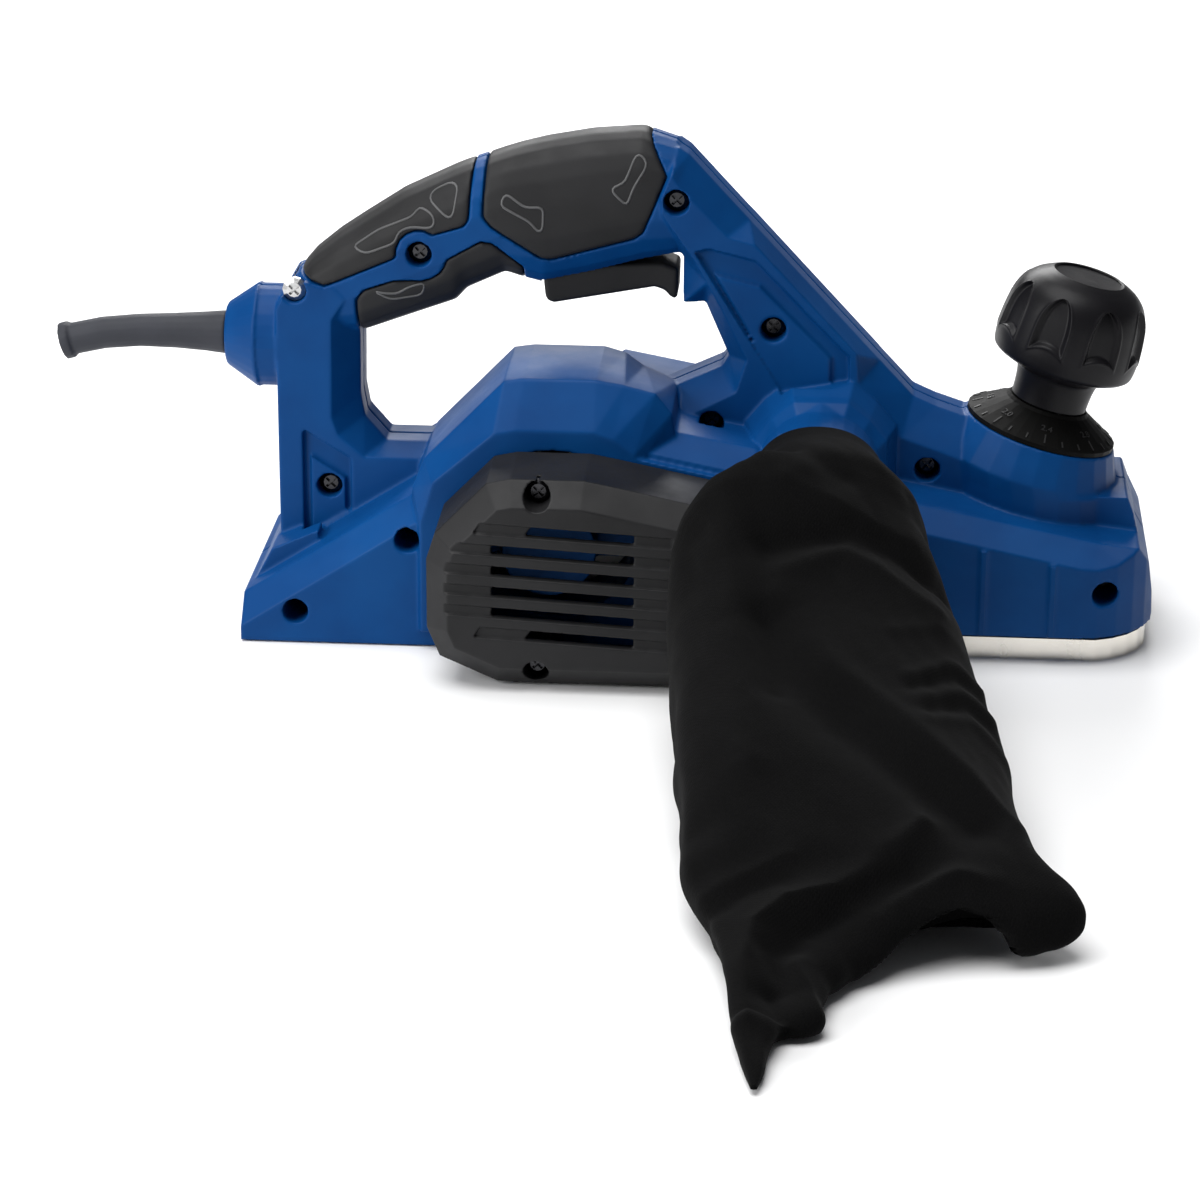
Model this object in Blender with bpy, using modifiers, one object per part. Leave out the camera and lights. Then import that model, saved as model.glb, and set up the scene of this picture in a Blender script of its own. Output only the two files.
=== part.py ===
"""Electric hand planer with its dust bag, at real size.

X points forwards to the depth knob, Y to the user's left and Z up. The origin is the middle of the
rear sole's lower face. Numbers are in millimetres, and MM takes each mesh to metres as it is made.
Side outlines are (x, z) points, and plan outlines are (x, y) points.
"""

import math

import bmesh
import bpy
from mathutils import Matrix, Vector

MM = 0.001
GAP = 0.3  # between neighbouring pieces
SEAM = 0.15  # from the middle plane to each housing half

# Body
HALF_WIDTH = 47.0
LEDGE_HALF = 38.0
SKIRT_Z = 0.6
FRONT_SKIRT_Z = 9.6
REAR_X = -81.6
NOSE_X = 212.6
NOSE_RADIUS = 26.0
SPINE_RIDGE = 8.0  # half width of the flat top of the strut, post and rail
POST_FACE = 17.0
STRUT_FACE = 18.0

# Drive
MOTOR = (20.0, 41.0)
DRUM = (92.0, 24.0)
MOTOR_BORE = 28.0
DRUM_RADIUS = 22.4
BLADE_REACH = 24.0
DRUM_HALF = 41.0
CHAMBER_RADIUS = 26.5
CHAMBER_HALF = 41.8
DRIVE_PULLEY_RADIUS = 9.0
DRUM_PULLEY_RADIUS = 15.0
PULLEY_Y = (48.8, 56.0)
MOTOR_SHAFT_RADIUS = 4.0
MOTOR_BEARING_RADIUS = 11.0
DRUM_SHAFT_RADIUS = 4.0
DRUM_BEARING_RADIUS = 9.5

# Soles
SOLE_HALF = 41.0
REAR_SOLE_Z = 5.0
SHOE_Z = 7.0

# Chute and cord outlet
CHUTE = (104.0, 60.0)
CHUTE_RADIUS = 19.5
CHUTE_BORE = 16.5
CHUTE_END_Y = -73.0
GLAND_Z = 90.0
BOOT_BORE = 3.9

# Depth knob, on an axis that leans forwards
DIAL_CENTRE = Vector((174.9, 0.0, 65.3))
KNOB_TILT = math.radians(15.0)
DIAL_RADIUS = 24.7
SPINDLE_RADIUS = 4.0
FLUTES = 8
FLUTE_PHASE = math.radians(23.0)

# Trigger and lock button
TRIGGER_HALF = 8.7
TRIGGER_PIVOT = Vector((18.0, 0.0, 118.5))
LOCK_BUTTON = (51.0, 131.0)
LOCK_RADIUS = 4.0

# Covers on the motor's two ends
VENT_ROOT_Y = -50.0
VENT_SHOULDER_Y = -78.0
VENT_FACE_Y = -85.0
BELT_ROOT_Y = 47.0
BELT_FACE_Y = 65.0
COVER_WALL = 2.8

# Housing screws: (name, x, z, |y| of the surface, depth of the head below it)
HOUSING_SCREWS = (
    ("screw_post_top", -66.5, 109.5, POST_FACE, 1.6),
    ("screw_grip", -25.8, 122.6, 16.8, 4.0),
    ("screw_strut_top", 56.5, 141.9, STRUT_FACE, 4.0),
    ("screw_strut_mid", 88.0, 100.6, STRUT_FACE, 5.5),
    ("screw_post_low", -56.0, 43.7, POST_FACE, 4.0),
    ("screw_body_mid", 68.6, 68.9, STRUT_FACE, 6.0),
    ("screw_body_front", 138.5, 55.2, STRUT_FACE, 6.0),
    ("screw_base_mid", -27.0, 36.2, HALF_WIDTH, 17.0),
    ("screw_base_rear", -63.7, 11.0, HALF_WIDTH, 17.0),
    ("screw_nose", 195.8, 24.1, HALF_WIDTH, 17.0),
)
HEAD_RADIUS = 3.9
HEAD_DEPTH = 2.6
SHANK_RADIUS = 1.9
HEAD_HOLE = 4.2
SHANK_HOLE = 2.2
SHANK_END_Y = 12.0
VENT_SCREWS = ((17.7, 64.3), (17.4, 6.8))
BELT_SCREWS = ((-4.0, 34.0), (66.0, 54.0), (112.5, 12.0))
SOLE_SCREWS = ((-66.0, -30.0), (-66.0, 30.0), (56.0, -30.0), (56.0, 30.0))

BLUE = (0.012, 0.085, 0.30)
BLACK = (0.018, 0.018, 0.019)
RUBBER = (0.026, 0.026, 0.027)
FABRIC = (0.010, 0.010, 0.011)
ALUMINIUM = (0.72, 0.71, 0.69)
STEEL = (0.55, 0.55, 0.56)
COPPER = (0.70, 0.30, 0.12)


# ---------------------------------------------------------------- helpers


def clear_scene():
    for obj in list(bpy.data.objects):
        bpy.data.objects.remove(obj)


def new_material(name, colour, roughness, metallic=0.0):
    material = bpy.data.materials.new(name)
    material.use_nodes = True
    inputs = material.node_tree.nodes["Principled BSDF"].inputs
    inputs["Base Color"].default_value = (*colour, 1.0)
    inputs["Roughness"].default_value = roughness
    inputs["Metallic"].default_value = metallic
    return material


def new_object(name, mesh):
    obj = bpy.data.objects.new(name, mesh)
    bpy.data.collections["electric_planer"].objects.link(obj)
    return obj


def from_bmesh(name, bm):
    """An object from a bmesh in millimetres, with its faces turned outwards."""
    bmesh.ops.recalc_face_normals(bm, faces=bm.faces)
    bmesh.ops.scale(bm, vec=(MM, MM, MM), verts=bm.verts)
    mesh = bpy.data.meshes.new(name)
    bm.to_mesh(mesh)
    bm.free()
    return new_object(name, mesh)


def bake(obj):
    """Swaps the object's mesh for its evaluated one, and drops its modifiers."""
    bpy.context.view_layer.update()
    graph = bpy.context.evaluated_depsgraph_get()
    mesh = bpy.data.meshes.new_from_object(obj.evaluated_get(graph))
    obj.modifiers.clear()
    obj.data = mesh


def boolean(target, other, operation):
    modifier = target.modifiers.new(operation, "BOOLEAN")
    modifier.operation = operation
    modifier.object = other
    bake(target)
    bpy.data.objects.remove(other)
    return target


def join(target, *others):
    for other in others:
        boolean(target, other, "UNION")
    return target


def cut(target, *others):
    for other in others:
        boolean(target, other, "DIFFERENCE")
    return target


def keep(target, other):
    return boolean(target, other, "INTERSECT")


def copy_of(obj, name):
    return new_object(name, obj.data.copy())


def loft(name, rings):
    """A closed skin through rings of as many 3D points each, with flat ends."""
    bm = bmesh.new()
    loops = [[bm.verts.new(point) for point in ring] for ring in rings]
    for low, high in zip(loops, loops[1:]):
        for i in range(len(low)):
            j = (i + 1) % len(low)
            bm.faces.new((low[i], low[j], high[j], high[i]))
    bm.faces.new(loops[0])
    bm.faces.new(loops[-1])
    bm.normal_update()
    bmesh.ops.triangulate(bm, faces=bm.faces)
    return from_bmesh(name, bm)


def side_ring(outline, y):
    return [(x, y, z) for x, z in outline]


def side_loft(name, *sections):
    """A loft along Y through (y, outline) sections."""
    return loft(name, [side_ring(outline, y) for y, outline in sections])


def slab(name, pairs, ridge, face):
    """A plate across the middle plane, chamfered from its ridge outline to its face outline."""
    inner = [pair[0] for pair in pairs]
    outer = [pair[1] for pair in pairs]
    return side_loft(name, (-face, outer), (-ridge, inner), (ridge, inner), (face, outer))


def prism(name, outline, low, high, along="Y"):
    """A flat outline drawn out along Y from a side view, or along Z from a plan view."""
    curve = bpy.data.curves.new(name, "CURVE")
    curve.dimensions = "2D"
    curve.fill_mode = "BOTH"
    curve.extrude = (high - low) / 2 * MM
    spline = curve.splines.new("POLY")
    spline.points.add(len(outline) - 1)
    for point, (u, v) in zip(spline.points, outline):
        point.co = (u * MM, v * MM, 0.0, 1.0)
    spline.use_cyclic_u = True
    middle = (low + high) / 2 * MM
    place = Matrix.Translation((0.0, 0.0, middle))
    if along == "Y":
        place = Matrix.Translation((0.0, middle, 0.0)) @ Matrix.Rotation(math.pi / 2, 4, "X")
    flat = new_object(name + "_outline", curve)
    bpy.context.view_layer.update()
    graph = bpy.context.evaluated_depsgraph_get()
    mesh = bpy.data.meshes.new_from_object(flat.evaluated_get(graph))
    bpy.data.objects.remove(flat)
    bm = bmesh.new()
    bm.from_mesh(mesh)
    bmesh.ops.remove_doubles(bm, verts=bm.verts, dist=1e-6)
    bmesh.ops.transform(bm, matrix=place, verts=bm.verts)
    bmesh.ops.recalc_face_normals(bm, faces=bm.faces)
    bm.to_mesh(mesh)
    bm.free()
    return new_object(name, mesh)


def box(name, low, high):
    low, high = Vector(low), Vector(high)
    bm = bmesh.new()
    bmesh.ops.create_cube(bm, size=1.0)
    bmesh.ops.scale(bm, vec=high - low, verts=bm.verts)
    bmesh.ops.translate(bm, vec=(low + high) / 2, verts=bm.verts)
    return from_bmesh(name, bm)


def rod(name, start, end, radius, end_radius=None, sides=20):
    """A cylinder, or a cone with end_radius, between two points."""
    start, end = Vector(start), Vector(end)
    axis = end - start
    turn = axis.to_track_quat("Z", "Y").to_matrix().to_4x4()
    bm = bmesh.new()
    bmesh.ops.create_cone(
        bm,
        cap_ends=True,
        segments=sides,
        radius1=radius,
        radius2=radius if end_radius is None else end_radius,
        depth=axis.length,
        matrix=Matrix.Translation((start + end) / 2) @ turn,
    )
    return from_bmesh(name, bm)


def rod_y(name, centre, low, high, radius, sides=20):
    x, z = centre
    return rod(name, (x, low, z), (x, high, z), radius, sides=sides)


def turned(name, profile, place, steps=24):
    """A closed (radius, height) profile, which touches the axis at both ends, turned about local Z."""
    bm = bmesh.new()
    points = [bm.verts.new((radius * MM, 0.0, height * MM)) for radius, height in profile]
    for low, high in zip(points, points[1:]):
        bm.edges.new((low, high))
    mesh = bpy.data.meshes.new(name)
    bm.to_mesh(mesh)
    bm.free()
    obj = new_object(name, mesh)
    screw = obj.modifiers.new("turn", "SCREW")
    screw.steps = steps
    screw.render_steps = steps
    screw.use_merge_vertices = True
    screw.merge_threshold = 1e-6
    screw.use_smooth_shade = False
    bake(obj)
    bm = bmesh.new()
    bm.from_mesh(obj.data)
    bmesh.ops.scale(bm, vec=(1 / MM,) * 3, verts=bm.verts)
    bmesh.ops.transform(bm, matrix=place, verts=bm.verts)
    bpy.data.objects.remove(obj)
    return from_bmesh(name, bm)


def along_y(centre, y, outward=-1):
    """A frame whose Z runs along Y, outwards, from a point of the side view."""
    x, z = centre
    turn = math.pi / 2 if outward < 0 else -math.pi / 2
    return Matrix.Translation((x, y, z)) @ Matrix.Rotation(turn, 4, "X")


def grown(outline, by):
    """The outline with each side moved outwards by this much, or inwards if negative."""
    count = len(outline)
    area = sum(
        outline[i][0] * outline[(i + 1) % count][1] - outline[(i + 1) % count][0] * outline[i][1]
        for i in range(count)
    )
    side = by if area > 0 else -by
    result = []
    for i in range(count):
        here = Vector(outline[i])
        before = (here - Vector(outline[i - 1])).normalized()
        after = (Vector(outline[(i + 1) % count]) - here).normalized()
        normal_before = Vector((before.y, -before.x))
        normal_after = Vector((after.y, -after.x))
        mitre = (normal_before + normal_after).normalized()
        reach = side / max(mitre.dot(normal_after), 0.3)
        result.append(tuple(here + mitre * reach))
    return result


def arc(centre, radius, start, end, steps):
    """Points on an arc, from one angle to the other in degrees."""
    angles = [math.radians(start + (end - start) * i / steps) for i in range(steps + 1)]
    return [(centre[0] + radius * math.cos(a), centre[1] + radius * math.sin(a)) for a in angles]


def rounded(outline, radius, corners, steps=4):
    """The outline with the numbered corners turned into arcs."""
    result = []
    for i, point in enumerate(outline):
        if i not in corners:
            result.append(point)
            continue
        here = Vector(point)
        before = (Vector(outline[i - 1]) - here).normalized()
        after = (Vector(outline[(i + 1) % len(outline)]) - here).normalized()
        half = before.angle(after) / 2
        centre = here + (before + after).normalized() * radius / math.sin(half)
        first = here + before * radius / math.tan(half) - centre
        last = here + after * radius / math.tan(half) - centre
        sweep = first.angle_signed(last)
        for k in range(steps + 1):
            turned_by = Matrix.Rotation(-sweep * k / steps, 2)
            result.append(tuple(centre + turned_by @ first))
    return result


def paint(obj, material):
    obj.data.materials.clear()
    obj.data.materials.append(material)
    obj.data.shade_smooth()
    obj.data.set_sharp_from_angle(angle=math.radians(30))
    return obj


def set_origin(obj, point):
    """Moves the object's origin onto its joint, and leaves its shape where it is."""
    shift = Vector(point) * MM
    obj.data.transform(Matrix.Translation(-shift))
    obj.location = shift


# ---------------------------------------------------------------- handle

# (x, top, underside, half width) of the closed handle's arch
HANDLE_STATIONS = (
    (-67.0, 112.5, 96.0, 14.5),
    (-61.0, 119.6, 94.2, 16.2),
    (-53.0, 126.2, 93.4, 16.9),
    (-44.5, 132.0, 93.6, 17.0),
    (-32.0, 140.2, 98.2, 17.0),
    (-15.0, 148.4, 104.4, 17.0),
    (-11.5, 149.8, 108.4, 17.0),
    (1.0, 154.3, 114.2, 17.0),
    (6.5, 156.1, 112.4, 17.0),
    (14.0, 158.1, 110.6, 17.0),
    (29.0, 160.9, 114.0, 17.0),
    (45.0, 162.2, 118.6, 17.0),
    (56.0, 158.6, 121.0, 16.6),
    (61.0, 152.0, 121.5, 14.0),
)
HANDLE_POINTS = 20
HANDLE_SQUARENESS = 2.5
SCREW_RING = (-25.8, 122.6)

GRIP_REAR = (
    [(-76.0, 124.0), (-65.2, 114.0), (-60.0, 111.8), (-56.4, 110.9), (-34.5, 120.4)]
    + arc(SCREW_RING, 7.4, 190, 55, 6)
    + [(-11.4, 131.8), (-9.7, 134.0), (-6.6, 180.0), (-76.0, 180.0)]
)
GRIP_LOWER = (
    [(-45.6, 80.0), (-46.6, 107.0), (-44.0, 110.4), (-34.0, 113.8)]
    + arc(SCREW_RING, 8.8, 258, 350, 5)
    + [(-6.0, 127.4), (-2.2, 126.8), (7.6, 118.4), (7.2, 80.0)]
)
GRIP_MAIN = [
    (-3.4, 180.0),
    (-5.4, 140.0),
    (-5.5, 135.2),
    (-2.8, 131.9),
    (13.1, 121.6),
    (16.5, 121.2),
    (43.2, 128.8),
    (46.0, 131.0),
    (53.5, 149.4),
    (45.0, 166.0),
    (45.0, 180.0),
]
GRIP_THICKNESS = 2.2


def handle_solid(name, inset):
    """The handle's arch, with its skin moved inwards by inset."""
    rings = []
    for x, top, bottom, half in HANDLE_STATIONS:
        height = (top - bottom) / 2 - inset
        width = half - inset
        ring = []
        for i in range(HANDLE_POINTS):
            angle = 2 * math.pi * (i + 0.5) / HANDLE_POINTS
            c, s = math.cos(angle), math.sin(angle)
            y = width * math.copysign(abs(c) ** (2 / HANDLE_SQUARENESS), c)
            z = height * math.copysign(abs(s) ** (2 / HANDLE_SQUARENESS), s)
            ring.append((x, y, (top + bottom) / 2 + z))
        rings.append(ring)
    return loft(name, rings)


def build_grip(name, outline):
    """One rubber piece, moulded round the handle inside the outline."""
    grip = handle_solid(name, 0.0)
    keep(grip, prism("outline", grown(outline, -GAP), -30.0, 30.0))
    return cut(grip, handle_solid("core", GRIP_THICKNESS))


# ---------------------------------------------------------------- housing

# (ridge point, face point) pairs
POST_PAIRS = (
    ((-72.5, 8.0), (-72.5, 8.0)),
    ((-72.5, 104.0), (-72.5, 103.0)),
    ((-68.5, 111.2), (-69.0, 110.0)),
    ((-63.0, 113.0), (-62.5, 112.5)),
    ((-54.0, 112.0), (-54.0, 111.0)),
    ((-46.0, 108.0), (-50.0, 107.0)),
    ((-46.0, 99.0), (-54.6, 100.0)),
    ((-46.3, 73.0), (-55.0, 67.0)),
    ((-45.0, 65.5), (-53.0, 61.2)),
    ((-38.0, 57.4), (-44.5, 54.0)),
    ((-18.0, 57.4), (-18.0, 53.8)),
    ((-18.0, 12.0), (-18.0, 12.0)),
    ((-55.0, 8.0), (-55.0, 8.0)),
)
STRUT_PAIRS = (
    ((50.0, 149.0), (51.6, 143.0)),
    ((56.5, 157.6), (54.8, 150.8)),
    ((60.0, 155.3), (57.0, 147.6)),
    ((74.5, 139.8), (72.9, 131.2)),
    ((79.5, 134.5), (81.6, 128.8)),
    ((115.0, 96.6), (114.8, 93.4)),
    ((122.3, 88.8), (115.7, 83.4)),
    ((133.4, 77.0), (129.8, 65.9)),
    ((140.6, 73.8), (142.5, 61.5)),
    ((155.0, 69.0), (155.0, 56.8)),
    ((190.0, 44.0), (190.0, 40.0)),
    ((190.0, 14.0), (190.0, 14.0)),
    ((30.0, 14.0), (30.0, 14.0)),
    ((30.0, 66.0), (30.0, 60.0)),
    ((56.0, 78.4), (58.0, 69.6)),
    ((71.6, 85.6), (76.4, 79.6)),
    ((73.6, 89.2), (79.7, 90.6)),
    ((65.8, 107.0), (71.6, 107.0)),
    ((58.8, 106.4), (66.6, 115.8)),
    ((58.0, 122.0), (62.9, 122.5)),
    ((50.0, 137.0), (52.0, 138.0)),
)
BASE_PAIRS = (
    ((REAR_X, SKIRT_Z), (REAR_X, SKIRT_Z)),
    ((REAR_X, 14.0), (REAR_X, 5.2)),
    ((-21.0, 52.3), (-21.0, 44.2)),
    ((20.0, 62.0), (20.0, 54.0)),
    ((37.0, 76.4), (40.0, 69.8)),
    ((84.0, 67.6), (84.0, 61.2)),
    ((104.0, 55.0), (104.0, 48.6)),
    ((130.0, 51.6), (133.0, 44.6)),
    ((194.0, 38.8), (192.0, 32.2)),
    ((206.5, 37.4), (205.0, 30.0)),
    ((210.2, 31.0), (209.2, 25.0)),
    ((211.8, 20.0), (211.4, 17.0)),
    ((NOSE_X, FRONT_SKIRT_Z), (NOSE_X, FRONT_SKIRT_Z)),
    ((78.0, FRONT_SKIRT_Z), (78.0, FRONT_SKIRT_Z)),
    ((78.0, SKIRT_Z), (78.0, SKIRT_Z)),
)
# Motor housing outlines: over the crown, and at the side wall
HUMP_CROWN = (
    (-26.0, 6.0),
    (-26.0, 52.0),
    (-22.0, 62.0),
    (3.6, 88.4),
    (10.0, 89.4),
    (33.0, 89.4),
    (42.0, 88.0),
    (51.7, 85.6),
    (57.0, 79.0),
    (60.0, 60.0),
    (60.0, 12.0),
)
HUMP_MIDDLE = (
    (-26.0, 6.0),
    (-26.0, 52.0),
    (-22.0, 62.0),
    (3.6, 88.4),
    (10.0, 89.4),
    (33.0, 89.4),
    (40.0, 87.4),
    (46.0, 83.0),
    (57.0, 78.0),
    (60.0, 60.0),
    (60.0, 12.0),
)
HUMP_SIDE = (
    (-22.6, 6.0),
    (-22.6, 43.0),
    (-18.4, 57.0),
    (1.1, 73.8),
    (8.0, 75.2),
    (33.0, 75.2),
    (39.0, 73.0),
    (45.7, 68.0),
    (47.0, 64.0),
    (48.0, 58.0),
    (48.0, 12.0),
)
HUMP_FAR = (
    (-22.6, 6.0),
    (-22.6, 43.0),
    (-18.4, 55.0),
    (-2.0, 68.4),
    (8.0, 70.4),
    (33.0, 70.4),
    (39.0, 69.6),
    (45.7, 67.0),
    (47.0, 64.0),
    (48.0, 58.0),
    (48.0, 12.0),
)
VENT_OUTLINE = [
    (-17.4, 19.0),
    (-17.4, 41.5),
    (-14.6, 50.4),
    (1.6, 67.0),
    (9.0, 68.6),
    (32.0, 68.6),
    (40.6, 67.0),
    (80.6, 58.8),
    (80.6, 1.4),
    (4.8, 1.4),
    (-13.4, 9.4),
]
# (y, half width, roundness) down the chute's boss, a square with its corners cut off that turns round
BOSS_RINGS = ((-6.0, 24.3, 0.0), (-18.7, 24.3, 0.0), (-27.0, 21.8, 0.0), (-31.0, 21.3, 0.1), (-36.0, 19.6, 1.0))
BOSS_CORNER = 1.473
NOSE_BLOCK = [(184.0, 30.0), (184.0, 48.6), (203.2, 48.6), (205.2, 43.4), (208.6, 30.0)]
REAR_WEDGE = ((-80.6, 12.5), (-73.6, 26.0), (-58.0, 33.0), (-58.0, 10.0))
STRUT_POCKET = [(62.4, 126.0), (67.3, 127.0), (82.0, 123.4), (112.6, 92.4), (112.8, 84.2), (91.0, 80.0)]
STRUT_PAD = [(69.2, 118.4), (83.4, 114.8), (106.4, 91.6), (106.6, 83.0), (91.6, 80.2)]
POST_POCKET = [(-64.4, 63.2), (-48.6, 53.4), (-48.6, 36.0), (-64.4, 26.4)]
POST_PAD = [(-61.8, 53.6), (-50.8, 46.6), (-50.8, 35.2), (-61.8, 28.2)]


def knob_point(height, forward=0.0, side=0.0):
    """A point in the depth knob's leaning frame, measured up its axis from the dial's base."""
    axis = Vector((math.sin(KNOB_TILT), 0.0, math.cos(KNOB_TILT)))
    ahead = Vector((math.cos(KNOB_TILT), 0.0, -math.sin(KNOB_TILT)))
    return DIAL_CENTRE + axis * height + ahead * forward + Vector((0.0, side, 0.0))


def knob_frame(height):
    return Matrix.Translation(knob_point(height)) @ Matrix.Rotation(KNOB_TILT, 4, "Y")


def circle_ring(centre, radius, tilt, sides=24):
    """A ring of points round a centre, leaning forwards by tilt."""
    ring = []
    for i in range(sides):
        angle = 2 * math.pi * i / sides
        forward, side = radius * math.cos(angle), radius * math.sin(angle)
        ring.append(
            (
                centre[0] + forward * math.cos(tilt),
                centre[1] + side,
                centre[2] - forward * math.sin(tilt),
            )
        )
    return ring


def collar_solid():
    """The round collar below the dial: a leaning cone that turns into an upright wall."""
    return loft(
        "collar",
        [
            circle_ring((173.4, 0.0, 20.0), 29.2, 0.0),
            circle_ring((173.2, 0.0, 50.0), 29.2, math.radians(6)),
            circle_ring(knob_point(-11.5), 29.2, math.radians(13)),
            circle_ring(knob_point(-GAP), DIAL_RADIUS + 0.5, KNOB_TILT),
        ],
    )


def boss_solid():
    """The boss at the chute's root, which turns from eight sides to round."""
    rings = []
    for y, half, roundness in BOSS_RINGS:
        ring = []
        for i in range(16):
            c, s = math.cos(math.pi * i / 8), math.sin(math.pi * i / 8)
            facet = 1 / max(abs(c), abs(s), (abs(c) + abs(s)) / BOSS_CORNER)
            reach = half * (facet + (1 - facet) * roundness)
            ring.append((CHUTE[0] + reach * c, y, CHUTE[1] + reach * s))
        rings.append(ring)
    return loft("boss", rings)


def base_solid():
    base = slab("base", BASE_PAIRS, LEDGE_HALF, HALF_WIDTH)
    side, nose = HALF_WIDTH + 0.1, NOSE_X + 0.1
    plan = [(-90.0, -side), (-90.0, side), (nose, side), (nose, -side)]
    return keep(base, prism("plan", rounded(plan, NOSE_RADIUS, (2, 3), 6), -5.0, 90.0, "Z"))


def outer_solid():
    """The two housing halves as one solid, before anything is cut out of it."""
    body = base_solid()
    chute_start = (CHUTE[0], -10.0, CHUTE[1])
    chute_end = (CHUTE[0], CHUTE_END_Y, CHUTE[1])
    gland_face = (-90.6, 0.0, GLAND_Z)
    gland_edge = (-81.0, 0.0, GLAND_Z)
    gland_root = (-64.0, 0.0, GLAND_Z)
    cone_root = (-80.0, 0.0, GLAND_Z)
    join(
        body,
        slab("wedge", [(p, p) for p in REAR_WEDGE], 26.0, 30.0),
        slab("post", POST_PAIRS, SPINE_RIDGE, POST_FACE),
        slab("strut", STRUT_PAIRS, SPINE_RIDGE, STRUT_FACE),
        side_loft("hump", (-50.0, HUMP_SIDE), (-40.0, HUMP_CROWN), (-2.0, HUMP_MIDDLE), (46.6, HUMP_FAR)),
        prism("vent_root", grown(VENT_OUTLINE, 1.0), -49.8, -36.0),
        collar_solid(),
        prism("nose_block", NOSE_BLOCK, -21.0, 21.0),
        boss_solid(),
        rod("chute", chute_start, chute_end, CHUTE_RADIUS, sides=32),
        rod("gland", gland_root, gland_edge, 16.8, sides=28),
        rod("gland_cone", cone_root, gland_face, 17.4, 10.2, sides=28),
        handle_solid("handle", 0.0),
    )
    return body


def cut_rooms(body):
    """The hollows for the drive, the switch, the chips and the soles."""
    switch_bay = [
        (12.8, 96.0),
        (12.8, 122.0),
        (17.0, 128.0),
        (22.0, 139.0),
        (52.0, 141.0),
        (58.6, 134.0),
        (58.6, 96.0),
    ]
    wire_channel = [(-60.0, 98.0), (-52.0, 104.0), (-20.0, 112.0), (14.0, 126.0), (14.0, 136.0)]
    wire_channel += [(-14.0, 122.0), (-54.0, 108.0), (-62.0, 103.0)]
    strut_channel = [(54.0, 133.0), (66.0, 142.0), (116.0, 90.0), (111.0, 86.0), (62.0, 135.0)]
    rear_room = [(-52.0, 9.0), (-52.0, 27.0), (-40.0, 34.0), (-35.0, 28.0), (-15.0, 26.0), (-15.0, 9.0)]
    front_room = [(118.0, 4.0), (118.0, 44.0), (150.0, 37.0), (186.0, 29.0), (186.0, 4.0)]
    chip_way = [(92.0, 30.0), (88.0, 44.0), (90.0, 62.0), (116.0, 62.0), (117.0, 30.0)]
    spindle_top, spindle_foot = knob_point(5.0), knob_point(-44.0)
    cut(
        body,
        prism("switch_bay", switch_bay, -9.3, 9.3),
        prism("wire_channel", wire_channel, -5.0, 5.0),
        prism("strut_channel", strut_channel, -5.0, 5.0),
        prism("post_channel", [(-68.0, 60.0), (-68.0, 97.0), (-59.0, 100.0), (-59.0, 60.0)], -9.0, 9.0),
        prism("rear_room", rear_room, -36.0, 36.0),
        prism("front_room", front_room, -SOLE_HALF, SOLE_HALF),
        rod_y("motor_bore", MOTOR, -60.0, 38.0, MOTOR_BORE, 32),
        rod_y("motor_seat", MOTOR, 30.0, 60.0, MOTOR_BEARING_RADIUS + GAP, 24),
        rod_y("chamber", DRUM, -CHAMBER_HALF, CHAMBER_HALF, CHAMBER_RADIUS, 32),
        rod_y("drum_seats", DRUM, -46.0, 60.0, DRUM_BEARING_RADIUS + GAP, 24),
        prism("chip_way", chip_way, -30.0, 12.0),
        rod_y("chute_bore", CHUTE, -80.0, 6.0, CHUTE_BORE, 32),
        box("sole_pocket", (-79.4, -SOLE_HALF - GAP, -5.0), (79.0, SOLE_HALF + GAP, REAR_SOLE_Z + GAP)),
        box("throat", (70.0, -SOLE_HALF, -5.0), (119.0, SOLE_HALF, 14.0)),
        rod("gland_bore", (-95.0, 0.0, GLAND_Z), (-60.0, 0.0, GLAND_Z), 6.0),
        rod("spindle_bore", spindle_foot, spindle_top, SPINDLE_RADIUS + 1.0),
        rod_y("button_bore", LOCK_BUTTON, 4.0, 30.0, LOCK_RADIUS + GAP, 16),
    )
    return body


def cut_pockets(body):
    """The shallow pockets on both sides of the post and the strut, each with its raised pad."""
    for side in (-1, 1):
        for face, pocket, pad in ((POST_FACE, POST_POCKET, POST_PAD), (STRUT_FACE, STRUT_POCKET, STRUT_PAD)):
            near, far = sorted((side * (face - 2.2), side * (face + 4.0)))
            hollow = prism("pocket", pocket, near, far)
            near, far = sorted((side * (face - 4.0), side * (face - 0.7)))
            cut(hollow, prism("pad", pad, near, far))
            cut(body, hollow)
    return body


def cut_grips(body):
    for outline in (GRIP_REAR, GRIP_LOWER, GRIP_MAIN):
        shell = prism("grip_shell", outline, -30.0, 30.0)
        cut(shell, handle_solid("core", GRIP_THICKNESS + GAP))
        keep(shell, handle_solid("skin", -2.0))
        cut(body, shell)
    return body


def cut_screw_holes(body):
    for _, x, z, surface, depth in HOUSING_SCREWS:
        head_y = -surface + depth + HEAD_DEPTH + GAP
        cut(
            body,
            rod_y("head_hole", (x, z), -surface - 6.0, head_y, HEAD_HOLE, 16),
            rod_y("shank_hole", (x, z), head_y - 1.0, SHANK_END_Y + GAP, SHANK_HOLE, 8),
        )
    for x, z in VENT_SCREWS:
        cut(body, rod_y("vent_pilot", (x, z), -55.0, -40.0, SHANK_HOLE, 8))
    for x, z in BELT_SCREWS:
        cut(body, rod_y("belt_pilot", (x, z), 43.4, 55.0, SHANK_HOLE, 8))
    return body


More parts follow.
